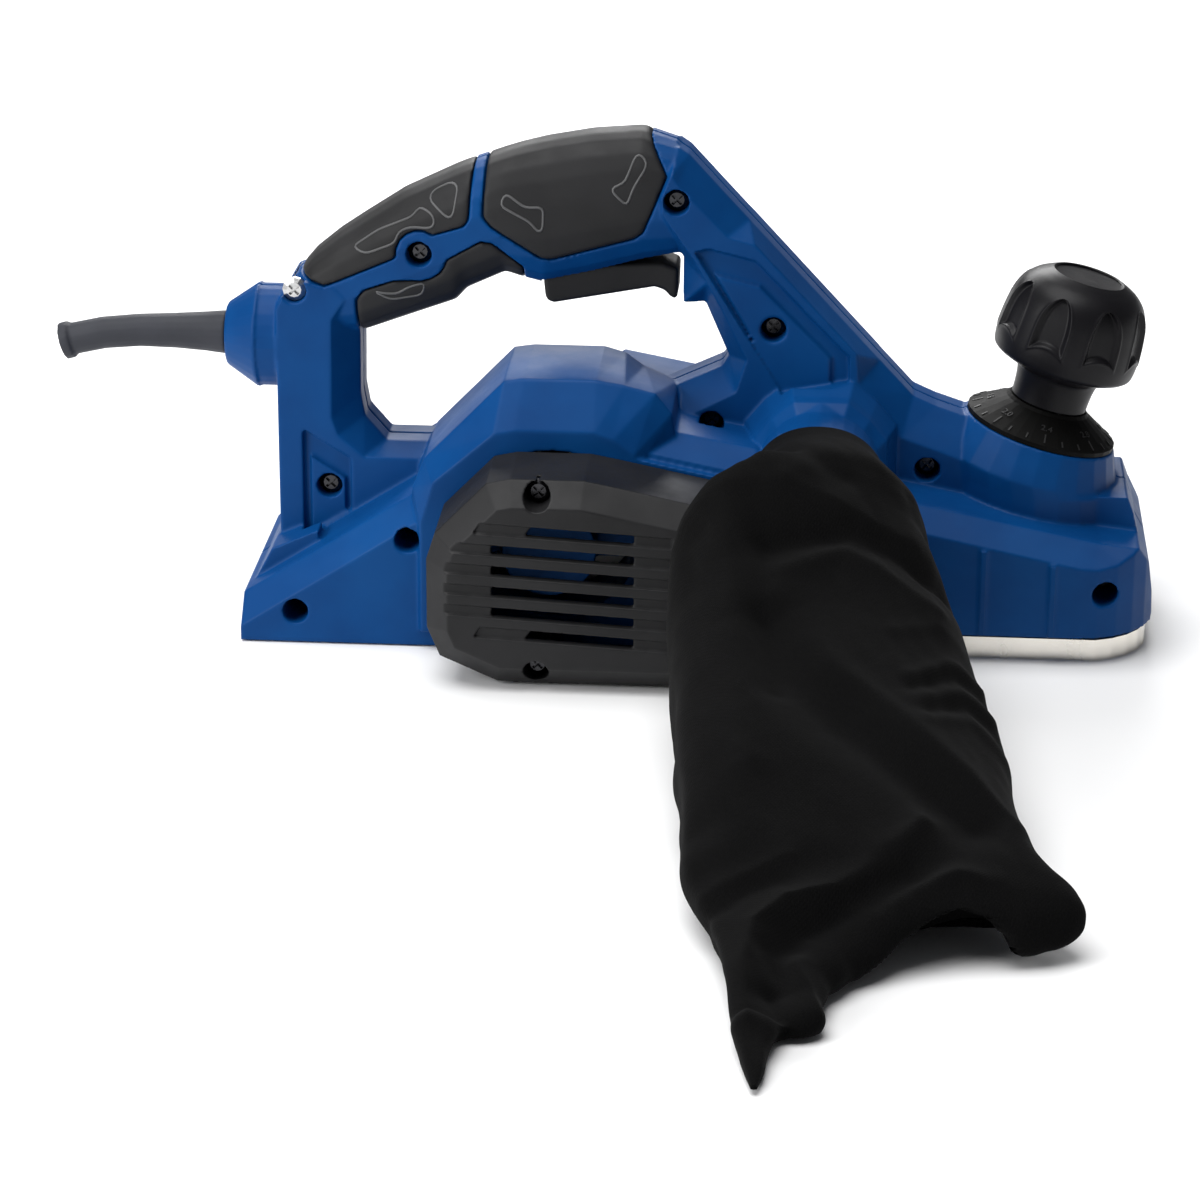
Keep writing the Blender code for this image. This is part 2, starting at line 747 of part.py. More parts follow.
def bearing_bridge():
    """The bar across the motor's open end that holds the shaft's right bearing."""
    bridge = rod_y("bridge", MOTOR, -66.0, -54.0, 15.0, 24)
    join(
        bridge,
        box("arm", (-12.0, -58.0, 37.0), (52.0, -50.6, 45.0)),
        box("foot_rear", (-12.0, -52.0, 37.0), (-6.0, -44.0, 45.0)),
        box("foot_front", (46.0, -52.0, 37.0), (52.0, -44.0, 45.0)),
    )
    return cut(bridge, rod_y("seat", MOTOR, -63.6, -50.0, MOTOR_BEARING_RADIUS + GAP, 24))


def add_ribs(body):
    """Thin upright ribs on both sides of the front skirt."""
    for x, top in ((157.0, 38.4), (179.0, 33.8)):
        for side in (-1, 1):
            near, far = sorted((side * (HALF_WIDTH - 1.0), side * (HALF_WIDTH + 0.9)))
            join(body, box("rib", (x - 0.9, near, FRONT_SKIRT_Z + 0.4), (x + 0.9, far, top)))
    return body


def build_housing(blue):
    body = outer_solid()
    cut_rooms(body)
    join(body, bearing_bridge())
    cut_pockets(body)
    add_ribs(body)
    cut_grips(body)
    cut_screw_holes(body)
    right = copy_of(body, "housing_right")
    keep(right, box("half", (-200.0, -200.0, -50.0), (300.0, -SEAM, 300.0)))
    keep(body, box("half", (-200.0, SEAM, -50.0), (300.0, 200.0, 300.0)))
    body.name = "housing_left"
    paint(right, blue)
    paint(body, blue)


# ---------------------------------------------------------------- covers

SLOT_LEFT, SLOT_RIGHT = 3.6, 48.0
SLOT_HEIGHT = 2.9
SLOT_PITCH = 6.85
SLOT_FALL = 2.4  # how far each slot drops from its rear end to its front end
SLOT_TOP_Z = 54.2
GROOVE_LEFT, GROOVE_RIGHT = -14.0, 60.0


def slot_outline(row, left, right, height):
    """A slot that slopes down towards the front."""
    slope = SLOT_FALL / (SLOT_RIGHT - SLOT_LEFT)
    middle = SLOT_TOP_Z - SLOT_PITCH * row

    def level(x):
        return middle - slope * (x - SLOT_LEFT)

    cut_back = 2.0 if row in (0, 5) else 0.0
    return [
        (left + cut_back, level(left) + height / 2),
        (right, level(right) + height / 2),
        (right, level(right) - height / 2),
        (left, level(left) - height / 2),
    ]


def build_vent_cover(black):
    face = grown(VENT_OUTLINE, -7.2)
    cover = side_loft(
        "vent_cover", (VENT_FACE_Y, face), (VENT_SHOULDER_Y, VENT_OUTLINE), (VENT_ROOT_Y - GAP, VENT_OUTLINE)
    )
    inner = grown(VENT_OUTLINE, -COVER_WALL)
    inner_face = grown(VENT_OUTLINE, -7.2 - COVER_WALL)
    room = side_loft(
        "room",
        (VENT_FACE_Y + COVER_WALL, inner_face),
        (VENT_SHOULDER_Y + COVER_WALL, inner),
        (VENT_ROOT_Y + 2.0, inner),
    )
    for x, z in VENT_SCREWS:
        cut(room, rod_y("post", (x, z), -95.0, -40.0, 5.6, 16))
    cut(cover, room)
    for row in range(6):
        left = 14.0 if row in (0, 5) else SLOT_LEFT
        groove_left = -2.0 if row in (0, 5) else GROOVE_LEFT
        cut(
            cover,
            prism("groove", slot_outline(row, groove_left, GROOVE_RIGHT, SLOT_HEIGHT + 0.6), -90.0, VENT_FACE_Y + 1.1),
            prism("slot", slot_outline(row, left, SLOT_RIGHT, SLOT_HEIGHT), -90.0, VENT_FACE_Y + 6.0),
        )
    for x, z in VENT_SCREWS:
        cut(
            cover,
            rod_y("head_hole", (x, z), -95.0, -76.0 + HEAD_DEPTH + GAP, HEAD_HOLE, 16),
            rod_y("shank_hole", (x, z), -76.0, -40.0, SHANK_HOLE, 8),
        )
    paint(cover, black)


BELT_OUTLINE = [
    (-14.0, 22.0),
    (-14.0, 46.0),
    (2.0, 62.0),
    (12.0, 66.0),
    (34.0, 66.0),
    (78.0, 57.6),
    (112.0, 46.0),
    (121.0, 34.0),
    (121.0, 12.0),
    (114.0, 2.0),
    (6.0, 2.0),
]


def build_belt_cover(black):
    face = grown(BELT_OUTLINE, -5.0)
    cover = side_loft(
        "belt_cover", (BELT_ROOT_Y + GAP, BELT_OUTLINE), (BELT_FACE_Y - 6.0, BELT_OUTLINE), (BELT_FACE_Y, face)
    )
    inner = grown(BELT_OUTLINE, -COVER_WALL)
    inner_face = grown(BELT_OUTLINE, -5.0 - COVER_WALL)
    room = side_loft(
        "room",
        (BELT_ROOT_Y - 2.0, inner),
        (BELT_FACE_Y - 6.0 - COVER_WALL, inner),
        (BELT_FACE_Y - COVER_WALL, inner_face),
    )
    for x, z in BELT_SCREWS:
        cut(room, rod_y("post", (x, z), 40.0, 80.0, 5.0, 12))
    cut(cover, room)
    for x, z in BELT_SCREWS:
        cut(
            cover,
            rod_y("head_hole", (x, z), BELT_FACE_Y - 3.4 - HEAD_DEPTH, 80.0, HEAD_HOLE, 16),
            rod_y("shank_hole", (x, z), 40.0, 70.0, SHANK_HOLE, 8),
        )
    paint(cover, black)


# ---------------------------------------------------------------- screws


def build_screw(name, place, length, steel, crossed=True):
    """A pan head screw whose head's top is at the frame's origin, facing its Z."""
    profile = [
        (0.0, 0.0),
        (2.4, -0.1),
        (HEAD_RADIUS, -1.2),
        (HEAD_RADIUS, -HEAD_DEPTH),
        (SHANK_RADIUS, -HEAD_DEPTH),
        (SHANK_RADIUS, -HEAD_DEPTH - length),
        (0.0, -HEAD_DEPTH - length),
    ]
    screw = turned(name, profile, place, steps=12)
    if crossed:
        for turn in (45, 135):
            blade = box("cross", (-2.1, -0.45, -1.3), (2.1, 0.45, 1.0))
            frame = Matrix.Translation(place.translation * MM) @ place.to_3x3().to_4x4()
            blade.data.transform(frame @ Matrix.Rotation(math.radians(turn), 4, "Z"))
            cut(screw, blade)
    paint(screw, steel)


def build_screws(steel):
    for name, x, z, surface, depth in HOUSING_SCREWS:
        head_y = -surface + depth
        length = SHANK_END_Y - head_y - HEAD_DEPTH
        build_screw(name, along_y((x, z), head_y), length, steel, crossed=depth < 10)
    for i, spot in enumerate(VENT_SCREWS):
        build_screw(f"screw_vent_{i + 1}", along_y(spot, -76.0), 30.0, steel)
    for i, spot in enumerate(BELT_SCREWS):
        build_screw(f"screw_belt_{i + 1}", along_y(spot, BELT_FACE_Y - 3.0, 1), 15.0, steel)
    for i, (x, y) in enumerate(SOLE_SCREWS):
        place = Matrix.Translation((x, y, 0.6)) @ Matrix.Rotation(math.pi, 4, "X")
        build_screw(f"screw_sole_{i + 1}", place, 1.4, steel, crossed=False)


# ---------------------------------------------------------------- soles


def build_rear_sole(aluminium):
    outline = [(-79.0, 0.0), (80.0, 0.0), (75.0, REAR_SOLE_Z), (-79.0, REAR_SOLE_Z)]
    sole = prism("rear_sole", outline, -SOLE_HALF, SOLE_HALF)
    for x, y in SOLE_SCREWS:
        cut(
            sole,
            rod("head_hole", (x, y, -2.0), (x, y, 0.6 + HEAD_DEPTH + GAP), HEAD_HOLE, sides=16),
            rod("shank_hole", (x, y, -2.0), (x, y, 9.0), SHANK_HOLE, sides=8),
        )
    paint(sole, aluminium)


def build_front_shoe(aluminium):
    """The adjustable front sole: a plate with a vee groove, and a boss that the spindle lifts."""
    tip = NOSE_X - 1.6
    profile = [(106.5, 0.0), (tip, 0.0), (tip, SHOE_Z), (113.5, SHOE_Z)]
    shoe = prism("front_shoe", profile, -SOLE_HALF, SOLE_HALF)
    plan = [(100.0, -SOLE_HALF - 1), (100.0, SOLE_HALF + 1), (tip + 0.1, SOLE_HALF + 1), (tip + 0.1, -SOLE_HALF - 1)]
    keep(shoe, prism("plan", rounded(plan, NOSE_RADIUS - 2.0, (2, 3), 6), -5.0, 30.0, "Z"))
    bore_foot, bore_top = knob_point(-62.0), knob_point(-38.0)
    boss_foot = knob_point(-56.5)
    join(shoe, rod("boss", (boss_foot.x, 0.0, 3.0), (boss_foot.x, 0.0, 20.0), 9.0))
    cut(
        shoe,
        rod("bore", (bore_foot.x, 0.0, 4.0), (bore_top.x, 0.0, bore_top.z), SPINDLE_RADIUS + 1.4),
        loft(
            "vee",
            [
                [(100.0, -2.6, -0.5), (100.0, 2.6, -0.5), (100.0, 0.0, 2.4)],
                [(220.0, -2.6, -0.5), (220.0, 2.6, -0.5), (220.0, 0.0, 2.4)],
            ],
        ),
    )
    paint(shoe, aluminium)


# ---------------------------------------------------------------- drum and motor


def turned_in_drum(obj, angle):
    """Turns a piece about the drum's axis."""
    centre = Matrix.Translation((DRUM[0] * MM, 0.0, DRUM[1] * MM))
    obj.data.transform(centre @ Matrix.Rotation(angle, 4, "Y") @ centre.inverted())
    return obj


def drum_box(name, low, high):
    """A box placed from the drum's axis."""
    shift = Vector((DRUM[0], 0.0, DRUM[1]))
    return box(name, Vector(low) + shift, Vector(high) + shift)


def build_drum(aluminium, steel, black):
    rest = math.radians(35)  # both blades stand clear of the soles
    drum = rod_y("cutter_drum", DRUM, -DRUM_HALF, DRUM_HALF, DRUM_RADIUS, 32)
    join(drum, rod_y("shaft", DRUM, -45.6, 57.0, DRUM_SHAFT_RADIUS, 16))
    for side in range(2):
        slot = drum_box("slot", (-7.0, -50.0, 12.0), (2.0, 50.0, 30.0))
        cut(drum, turned_in_drum(slot, rest + side * math.pi))
        blade = drum_box(f"blade_{side + 1}", (0.5, -DRUM_HALF, 12.6), (1.6, DRUM_HALF, BLADE_REACH))
        paint(turned_in_drum(blade, rest + side * math.pi), steel)
        bar = drum_box(f"clamp_bar_{side + 1}", (-6.6, -DRUM_HALF, 12.6), (0.2, DRUM_HALF, 20.0))
        paint(turned_in_drum(bar, rest + side * math.pi), steel)
    paint(drum, aluminium)
    for name, low, high in (("right", -45.6, -42.2), ("left", 42.2, 46.4)):
        bearing = rod_y(f"drum_bearing_{name}", DRUM, low, high, DRUM_BEARING_RADIUS, 20)
        paint(cut(bearing, rod_y("bore", DRUM, -60.0, 60.0, DRUM_SHAFT_RADIUS + GAP, 16)), steel)
    pulley = rod_y("drum_pulley", DRUM, *PULLEY_Y, DRUM_PULLEY_RADIUS, 24)
    paint(cut(pulley, rod_y("bore", DRUM, -60.0, 70.0, DRUM_SHAFT_RADIUS + GAP, 16)), black)


def build_motor(steel, copper, black):
    stator = rod_y("motor_stator", MOTOR, -20.0, 24.0, MOTOR_BORE - 0.4, 32)
    paint(cut(stator, rod_y("bore", MOTOR, -30.0, 40.0, 16.4, 24)), steel)
    armature = rod_y("motor_armature", MOTOR, -18.0, 22.0, 15.6, 20)
    join(
        armature,
        rod_y("windings", MOTOR, -23.0, 26.6, 12.0, 16),
        rod_y("shaft", MOTOR, -62.0, 57.0, MOTOR_SHAFT_RADIUS, 16),
    )
    paint(armature, steel)
    commutator = rod_y("commutator", MOTOR, -38.0, -23.6, 11.0, 20)
    paint(cut(commutator, rod_y("bore", MOTOR, -50.0, -10.0, MOTOR_SHAFT_RADIUS + GAP, 16)), copper)
    paint(build_fan(), black)
    pulley = rod_y("drive_pulley", MOTOR, *PULLEY_Y, DRIVE_PULLEY_RADIUS, 20)
    paint(cut(pulley, rod_y("bore", MOTOR, 40.0, 70.0, MOTOR_SHAFT_RADIUS + GAP, 16)), steel)
    for name, low, high in (("right", -63.2, -56.4), ("left", 40.4, 46.4)):
        bearing = rod_y(f"motor_bearing_{name}", MOTOR, low, high, MOTOR_BEARING_RADIUS, 20)
        paint(cut(bearing, rod_y("bore", MOTOR, -70.0, 60.0, MOTOR_SHAFT_RADIUS + GAP, 16)), steel)
    x, z = MOTOR
    for name, side in (("top", 1), ("bottom", -1)):
        near, far = sorted((z + side * 11.6, z + side * 25.0))
        paint(box(f"brush_{name}", (x - 4.0, -35.0, near), (x + 4.0, -27.0, far)), black)


def build_fan():
    x, z = MOTOR
    fan = rod_y("cooling_fan", MOTOR, 27.4, 29.0, 25.6, 24)
    blades = 7
    for i in range(blades):
        blade = box("blade", (x - 0.8, 28.0, z + 9.0), (x + 0.8, 35.0, z + 25.0))
        centre = Matrix.Translation((x * MM, 0.0, z * MM))
        blade.data.transform(centre @ Matrix.Rotation(2 * math.pi * i / blades, 4, "Y") @ centre.inverted())
        join(fan, blade)
    join(fan, rod_y("hub", MOTOR, 28.0, 35.0, 10.0, 16))
    return cut(fan, rod_y("bore", MOTOR, 20.0, 39.0, MOTOR_SHAFT_RADIUS + GAP, 16))


def belt_loop(extra):
    """The outline of a belt round both pulleys, this far off their rims."""
    start, end = Vector(MOTOR), Vector(DRUM)
    run = end - start
    small, large = DRIVE_PULLEY_RADIUS + extra, DRUM_PULLEY_RADIUS + extra
    heading = math.degrees(math.atan2(run.y, run.x))
    lean = math.degrees(math.asin((large - small) / run.length))
    reach = 90.0 + lean
    return arc(MOTOR, small, heading + reach, heading + 360 - reach, 10) + arc(
        DRUM, large, heading - reach, heading + reach, 14
    )


def build_belt(rubber):
    low, high = PULLEY_Y[0] + 0.6, PULLEY_Y[1] - 0.6
    belt = prism("drive_belt", belt_loop(2.2), low, high)
    paint(cut(belt, prism("inside", belt_loop(GAP), low - 2.0, high + 2.0)), rubber)


# ---------------------------------------------------------------- knob


def fluted_ring(height, radius, depth):
    """A ring of the knob's head, with a shallow scallop between each pair of its lobes."""
    points_per_flute = 5
    count = FLUTES * points_per_flute
    ring = []
    for i in range(count):
        angle = 2 * math.pi * i / count
        scallop = depth * max(0.0, math.cos(FLUTES * (angle - FLUTE_PHASE))) ** 0.7
        reach = radius - scallop
        ring.append(knob_point(height, reach * math.cos(angle), reach * math.sin(angle)))
    return ring


def build_knob(black, rubber, steel):
    head = loft(
        "depth_knob",
        [
            fluted_ring(19.6, 13.8, 0.0),
            fluted_ring(23.3, 22.2, 0.0),
            fluted_ring(25.4, 23.3, 1.0),
            fluted_ring(31.0, 23.5, 2.2),
            fluted_ring(41.0, 22.5, 2.2),
            fluted_ring(47.6, 19.4, 1.2),
            fluted_ring(51.2, 15.6, 0.0),
            fluted_ring(52.7, 12.0, 0.0),
        ],
    )
    neck = [(0.0, 30.0), (14.4, 30.0), (13.8, 22.0), (12.8, 16.0), (12.4, 9.4), (0.0, 9.4)]
    join(head, turned("neck", neck, knob_frame(0.0)))
    cut(head, rod("spindle_hole", knob_point(0.0), knob_point(36.0), SPINDLE_RADIUS + GAP, sides=16))
    paint(head, rubber)
    dial = turned(
        "depth_dial",
        [(0.0, 9.0), (13.0, 9.0), (13.8, 8.0), (DIAL_RADIUS, 1.4), (DIAL_RADIUS, 0.0), (0.0, 0.0)],
        knob_frame(0.0),
        steps=32,
    )
    cut(dial, rod("spindle_hole", knob_point(-5.0), knob_point(20.0), SPINDLE_RADIUS + GAP, sides=16))
    paint(dial, black)
    spindle = rod("depth_spindle", knob_point(-50.0), knob_point(35.0), SPINDLE_RADIUS, sides=14)
    paint(spindle, steel)
    return head, dial, spindle


def build_spring(steel):
    """The compression spring round the spindle, between the housing and the shoe's boss."""
    turns, points_per_turn = 4, 9
    curve = bpy.data.curves.new("depth_spring", "CURVE")
    curve.dimensions = "3D"
    curve.bevel_depth = 0.7 * MM
    curve.bevel_resolution = 0
    curve.use_fill_caps = True
    spline = curve.splines.new("POLY")
    count = turns * points_per_turn
    spline.points.add(count)
    for i, point in enumerate(spline.points):
        angle = 2 * math.pi * i / points_per_turn
        low, high = -44.0, -33.5
        height = low + (high - low) * i / count
        place = knob_point(height, 7.0 * math.cos(angle), 7.0 * math.sin(angle)) * MM
        point.co = (*place, 1.0)
    curve.materials.append(steel)
    return new_object("depth_spring", curve)


# ---------------------------------------------------------------- switch and cord outlet


def build_trigger(black):
    outline = [
        (13.6, 112.0),
        (14.2, 106.6),
        (16.4, 105.2),
        (49.3, 111.4),
        (52.6, 110.4),
        (54.7, 107.9),
        (56.7, 107.6),
        (57.0, 117.6),
        (52.0, 119.4),
        (30.0, 118.4),
        (22.0, 121.4),
        (15.0, 121.2),
        (13.6, 119.0),
    ]
    trigger = prism("trigger", outline, -TRIGGER_HALF, TRIGGER_HALF)
    bevel = trigger.modifiers.new("edges", "BEVEL")
    bevel.width = 0.9 * MM
    bevel.segments = 1
    bevel.limit_method = "ANGLE"
    bake(trigger)
    paint(trigger, black)
    set_origin(trigger, TRIGGER_PIVOT)


def build_switch(black):
    paint(box("switch_body", (24.0, -8.4, 124.4), (45.0, 8.4, 136.5)), black)
    x, z = LOCK_BUTTON
    button = turned(
        "lock_button",
        [(0.0, 0.0), (3.2, 0.0), (LOCK_RADIUS, -0.9), (LOCK_RADIUS, -9.0), (0.0, -9.0)],
        along_y((x, z), 19.6, 1),
        steps=16,
    )
    paint(button, black)
    set_origin(button, (x, 19.6, z))


# (x, z, radius) along the cord boot's bent middle line
BOOT_LINE = (
    (-91.0, 90.3, 7.2),
    (-98.0, 90.4, 6.5),
    (-108.0, 90.4, 5.8),
    (-120.0, 90.2, 5.4),
    (-132.0, 89.0, 5.3),
    (-142.2, 86.7, 5.3),
    (-142.8, 86.5, 6.2),
    (-145.6, 85.7, 6.2),
)


def boot_ring(index, radius):
    """A ring square to the boot's middle line."""
    x, z, _ = BOOT_LINE[index]
    before = BOOT_LINE[max(index - 1, 0)]
    after = BOOT_LINE[min(index + 1, len(BOOT_LINE) - 1)]
    run = Vector((after[0] - before[0], 0.0, after[1] - before[1])).normalized()
    up = Vector((0.0, 1.0, 0.0)).cross(run)
    ring = []
    for i in range(16):
        angle = 2 * math.pi * i / 16
        offset = up * radius * math.cos(angle) + Vector((0.0, 1.0, 0.0)) * radius * math.sin(angle)
        ring.append(Vector((x, 0.0, z)) + offset)
    return ring


def build_boot(rubber):
    last = len(BOOT_LINE) - 1
    boot = loft("cord_boot", [boot_ring(i, BOOT_LINE[i][2]) for i in range(last + 1)])
    join(boot, rod("stem", (-92.0, 0.0, 90.0), (-74.0, 0.0, 90.0), 5.6, sides=16))
    mouth = boot_ring(last, BOOT_BORE)
    step_out = Vector((-2.0, 0.0, -0.5))
    bore = loft(
        "bore", [[p + step_out for p in mouth]] + [boot_ring(i, BOOT_BORE) for i in range(last - 1, 1, -1)]
    )
    paint(cut(boot, bore), rubber)


# ---------------------------------------------------------------- dust bag

# (y, rear edge x, front edge x, bottom, top) of the bag as it lies in front of the chute
BAG_STATIONS = (
    (-57.0, 81.8, 126.2, 37.5, 82.2),
    (-74.0, 81.4, 131.0, 26.0, 83.0),
    (-87.0, 80.8, 136.0, 12.0, 84.6),
    (-92.0, 64.0, 141.0, 3.0, 84.0),
    (-104.0, 60.4, 146.0, 0.4, 77.0),
    (-130.0, 61.5, 153.0, 0.4, 63.0),
    (-170.0, 65.0, 160.0, 0.4, 51.0),
    (-210.0, 68.5, 165.0, 0.4, 42.0),
    (-240.0, 71.5, 172.0, 0.4, 34.0),
    (-264.0, 76.0, 180.0, 0.4, 24.0),
    (-286.0, 81.0, 118.0, 0.4, 14.0),
    (-318.0, 88.0, 106.0, 0.4, 8.0),
    (-346.0, 93.0, 98.0, 0.4, 4.0),
)
BAG_POINTS = 16


def build_bag(fabric, black):
    rings = []
    for y, rear, front, bottom, top in BAG_STATIONS:
        ring = []
        for i in range(BAG_POINTS):
            angle = 2 * math.pi * i / BAG_POINTS
            c, s = math.cos(angle), math.sin(angle)
            across = math.copysign(abs(c) ** 0.8, c) * (front - rear) / 2
            upward = math.copysign(abs(s) ** 0.8, s) * (top - bottom) / 2
            ring.append(((rear + front) / 2 + across, y, (bottom + top) / 2 + upward))
        rings.append(ring)
    bag = loft("dust_bag", rings)
    cut(bag, rod_y("socket", CHUTE, -74.0, -50.0, CHUTE_RADIUS + 2.0, 32))
    paint(bag, fabric)
    collar = rod_y("bag_collar", CHUTE, -70.0, -57.0, CHUTE_RADIUS + 1.7, 32)
    paint(cut(collar, rod_y("bore", CHUTE, -80.0, -40.0, CHUTE_RADIUS + GAP, 32)), black)


def main():
    clear_scene()
    collection = bpy.data.collections.new("electric_planer")
    bpy.context.scene.collection.children.link(collection)
    blue = new_material("blue_nylon", BLUE, 0.42)
    black = new_material("black_nylon", BLACK, 0.45)
    rubber = new_material("black_rubber", RUBBER, 0.6)
    fabric = new_material("black_fabric", FABRIC, 0.9)
    aluminium = new_material("machined_aluminium", ALUMINIUM, 0.35, 1.0)
    steel = new_material("steel", STEEL, 0.3, 1.0)
    copper = new_material("copper", COPPER, 0.3, 1.0)
    build_housing(blue)
    build_vent_cover(black)
    build_belt_cover(black)
    for name, outline in (("grip_rear", GRIP_REAR), ("grip_lower", GRIP_LOWER), ("grip_main", GRIP_MAIN)):
        paint(build_grip(name, outline), rubber)
    build_screws(steel)
    build_rear_sole(aluminium)
    build_front_shoe(aluminium)
    build_drum(aluminium, steel, black)
    build_motor(steel, copper, black)
    build_belt(rubber)
    for piece in build_knob(black, rubber, steel):
        set_origin(piece, DIAL_CENTRE)
    build_spring(steel)
    build_trigger(black)
    build_switch(black)
    build_boot(rubber)
    build_bag(fabric, black)


main()
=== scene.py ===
"""An electric hand planer lying on a pale table: its looks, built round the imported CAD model."""

import math

import bmesh
import bpy
import numpy as np
from mathutils import Matrix, Vector, noise
from mathutils.bvhtree import BVHTree


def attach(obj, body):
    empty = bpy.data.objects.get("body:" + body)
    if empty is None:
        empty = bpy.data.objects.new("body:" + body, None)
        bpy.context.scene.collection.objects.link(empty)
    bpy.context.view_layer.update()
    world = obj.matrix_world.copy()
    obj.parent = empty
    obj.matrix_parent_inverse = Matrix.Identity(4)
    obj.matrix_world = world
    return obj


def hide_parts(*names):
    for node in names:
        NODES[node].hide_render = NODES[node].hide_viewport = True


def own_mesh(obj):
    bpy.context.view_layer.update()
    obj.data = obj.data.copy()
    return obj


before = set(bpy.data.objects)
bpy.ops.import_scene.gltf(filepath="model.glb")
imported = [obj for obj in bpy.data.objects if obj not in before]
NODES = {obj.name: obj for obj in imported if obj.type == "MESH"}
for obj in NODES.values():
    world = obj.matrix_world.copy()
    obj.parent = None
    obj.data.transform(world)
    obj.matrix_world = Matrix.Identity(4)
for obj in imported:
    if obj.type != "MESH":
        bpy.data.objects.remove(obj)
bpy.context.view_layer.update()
# Lengths below are in millimetres, apart from those of the camera, lights, floor and materials
MM = 0.001


# ---------------------------------------------------------------- helpers


def placed(name, data):
    """A new object in the scene."""
    obj = bpy.data.objects.new(name, data)
    bpy.context.scene.collection.objects.link(obj)
    return obj


def finished(bm, name):
    """The mesh of a bmesh that needs no more work."""
    mesh = bpy.data.meshes.new(name)
    bm.to_mesh(mesh)
    bm.free()
    return mesh


def angles(count):
    return [2 * math.pi * i / count for i in range(count)]


def smoothstep(low, high, value):
    t = min(max((value - low) / (high - low), 0.0), 1.0)
    return t * t * (3 - 2 * t)


def along_curve(rows, amount):
    """A row at an amount from 0 to 1, on a smooth curve through the rows."""
    place = amount * (len(rows) - 1)
    i = min(int(place), len(rows) - 2)
    t = place - i
    a, b, c, d = (rows[min(max(j, 0), len(rows) - 1)] for j in (i - 1, i, i + 1, i + 2))
    return 0.5 * (2 * b + (c - a) * t + (2 * a - 5 * b + 4 * c - d) * t * t + (3 * b - a - 3 * c + d) * t**3)


def join_rings(bm, rings):
    """Side faces between each ring of vertices and the next."""
    for low, high in zip(rings, rings[1:]):
        for i in range(len(low)):
            k = (i + 1) % len(low)
            bm.faces.new((low[i], low[k], high[k], high[i]))


# ---------------------------------------------------------------- camera, light and floor


CAMERA_AZIMUTH, CAMERA_ELEVATION, CAMERA_ROLL = math.radians(4.0), math.radians(20.5), math.radians(0.3)
CAMERA_TARGET = Vector((0.035, -0.047, 0.018))
CAMERA_DISTANCE = 1.283
FLOOR_HALF_SIZE = 4.0


def make_camera():
    """A long lens, a little above the machine and almost square to its right side."""
    back = Vector(
        (
            math.sin(CAMERA_AZIMUTH) * math.cos(CAMERA_ELEVATION),
            -math.cos(CAMERA_AZIMUTH) * math.cos(CAMERA_ELEVATION),
            math.sin(CAMERA_ELEVATION),
        )
    )
    level = Vector((math.cos(CAMERA_AZIMUTH), math.sin(CAMERA_AZIMUTH), 0.0))
    up = back.cross(level)
    right = level * math.cos(CAMERA_ROLL) + up * math.sin(CAMERA_ROLL)
    up = up * math.cos(CAMERA_ROLL) - level * math.sin(CAMERA_ROLL)
    data = bpy.data.cameras.new("camera")
    data.lens = 120.0
    data.clip_start = 0.01
    camera = placed("camera", data)
    place = Matrix((right, up, back)).transposed().to_4x4()
    place.translation = CAMERA_TARGET + back * CAMERA_DISTANCE
    camera.matrix_world = place
    bpy.context.scene.camera = camera


def area_light(name, place, target, size, power):
    data = bpy.data.lights.new(name, "AREA")
    data.shape = "RECTANGLE"
    data.size, data.size_y = size
    data.energy = power
    light = placed(name, data)
    light.location = place
    light.rotation_euler = (Vector(target) - Vector(place)).to_track_quat("-Z", "Y").to_euler()


def sun_light(name, towards, energy, spread):
    """Even light from far away; the wide spread keeps its shadows soft."""
    data = bpy.data.lights.new(name, "SUN")
    data.energy = energy
    data.angle = spread
    light = placed(name, data)
    light.rotation_euler = Vector(towards).to_track_quat("Z", "Y").to_euler()


def light_scene():
    world = bpy.data.worlds.new("studio")
    world.use_nodes = True
    background = world.node_tree.nodes["Background"]
    background.inputs["Color"].default_value = (0.93, 0.95, 1.0, 1.0)
    background.inputs["Strength"].default_value = 0.12
    bpy.context.scene.world = world
    bpy.context.scene.view_settings.view_transform = "Standard"
    area_light("left_light", (-0.62, -0.55, 0.42), (0.0, -0.05, 0.08), (0.45, 0.45), 4.8)
    area_light("back_light", (-0.1, 1.1, 0.75), (0.05, 0.0, 0.05), (0.9, 0.5), 12.0)
    sun_light("overhead", (-0.2, -0.12, 1.0), 2.9, math.radians(50))


def make_floor():
    bm = bmesh.new()
    bmesh.ops.create_grid(bm, x_segments=1, y_segments=1, size=FLOOR_HALF_SIZE)
    floor = placed("floor", finished(bm, "floor"))
    material = bpy.data.materials.new("paper")
    material.use_nodes = True
    shader = material.node_tree.nodes["Principled BSDF"]
    shader.inputs["Base Color"].default_value = (0.91, 0.91, 0.91, 1.0)
    shader.inputs["Roughness"].default_value = 0.7
    floor.data.materials.append(material)


# ---------------------------------------------------------------- materials


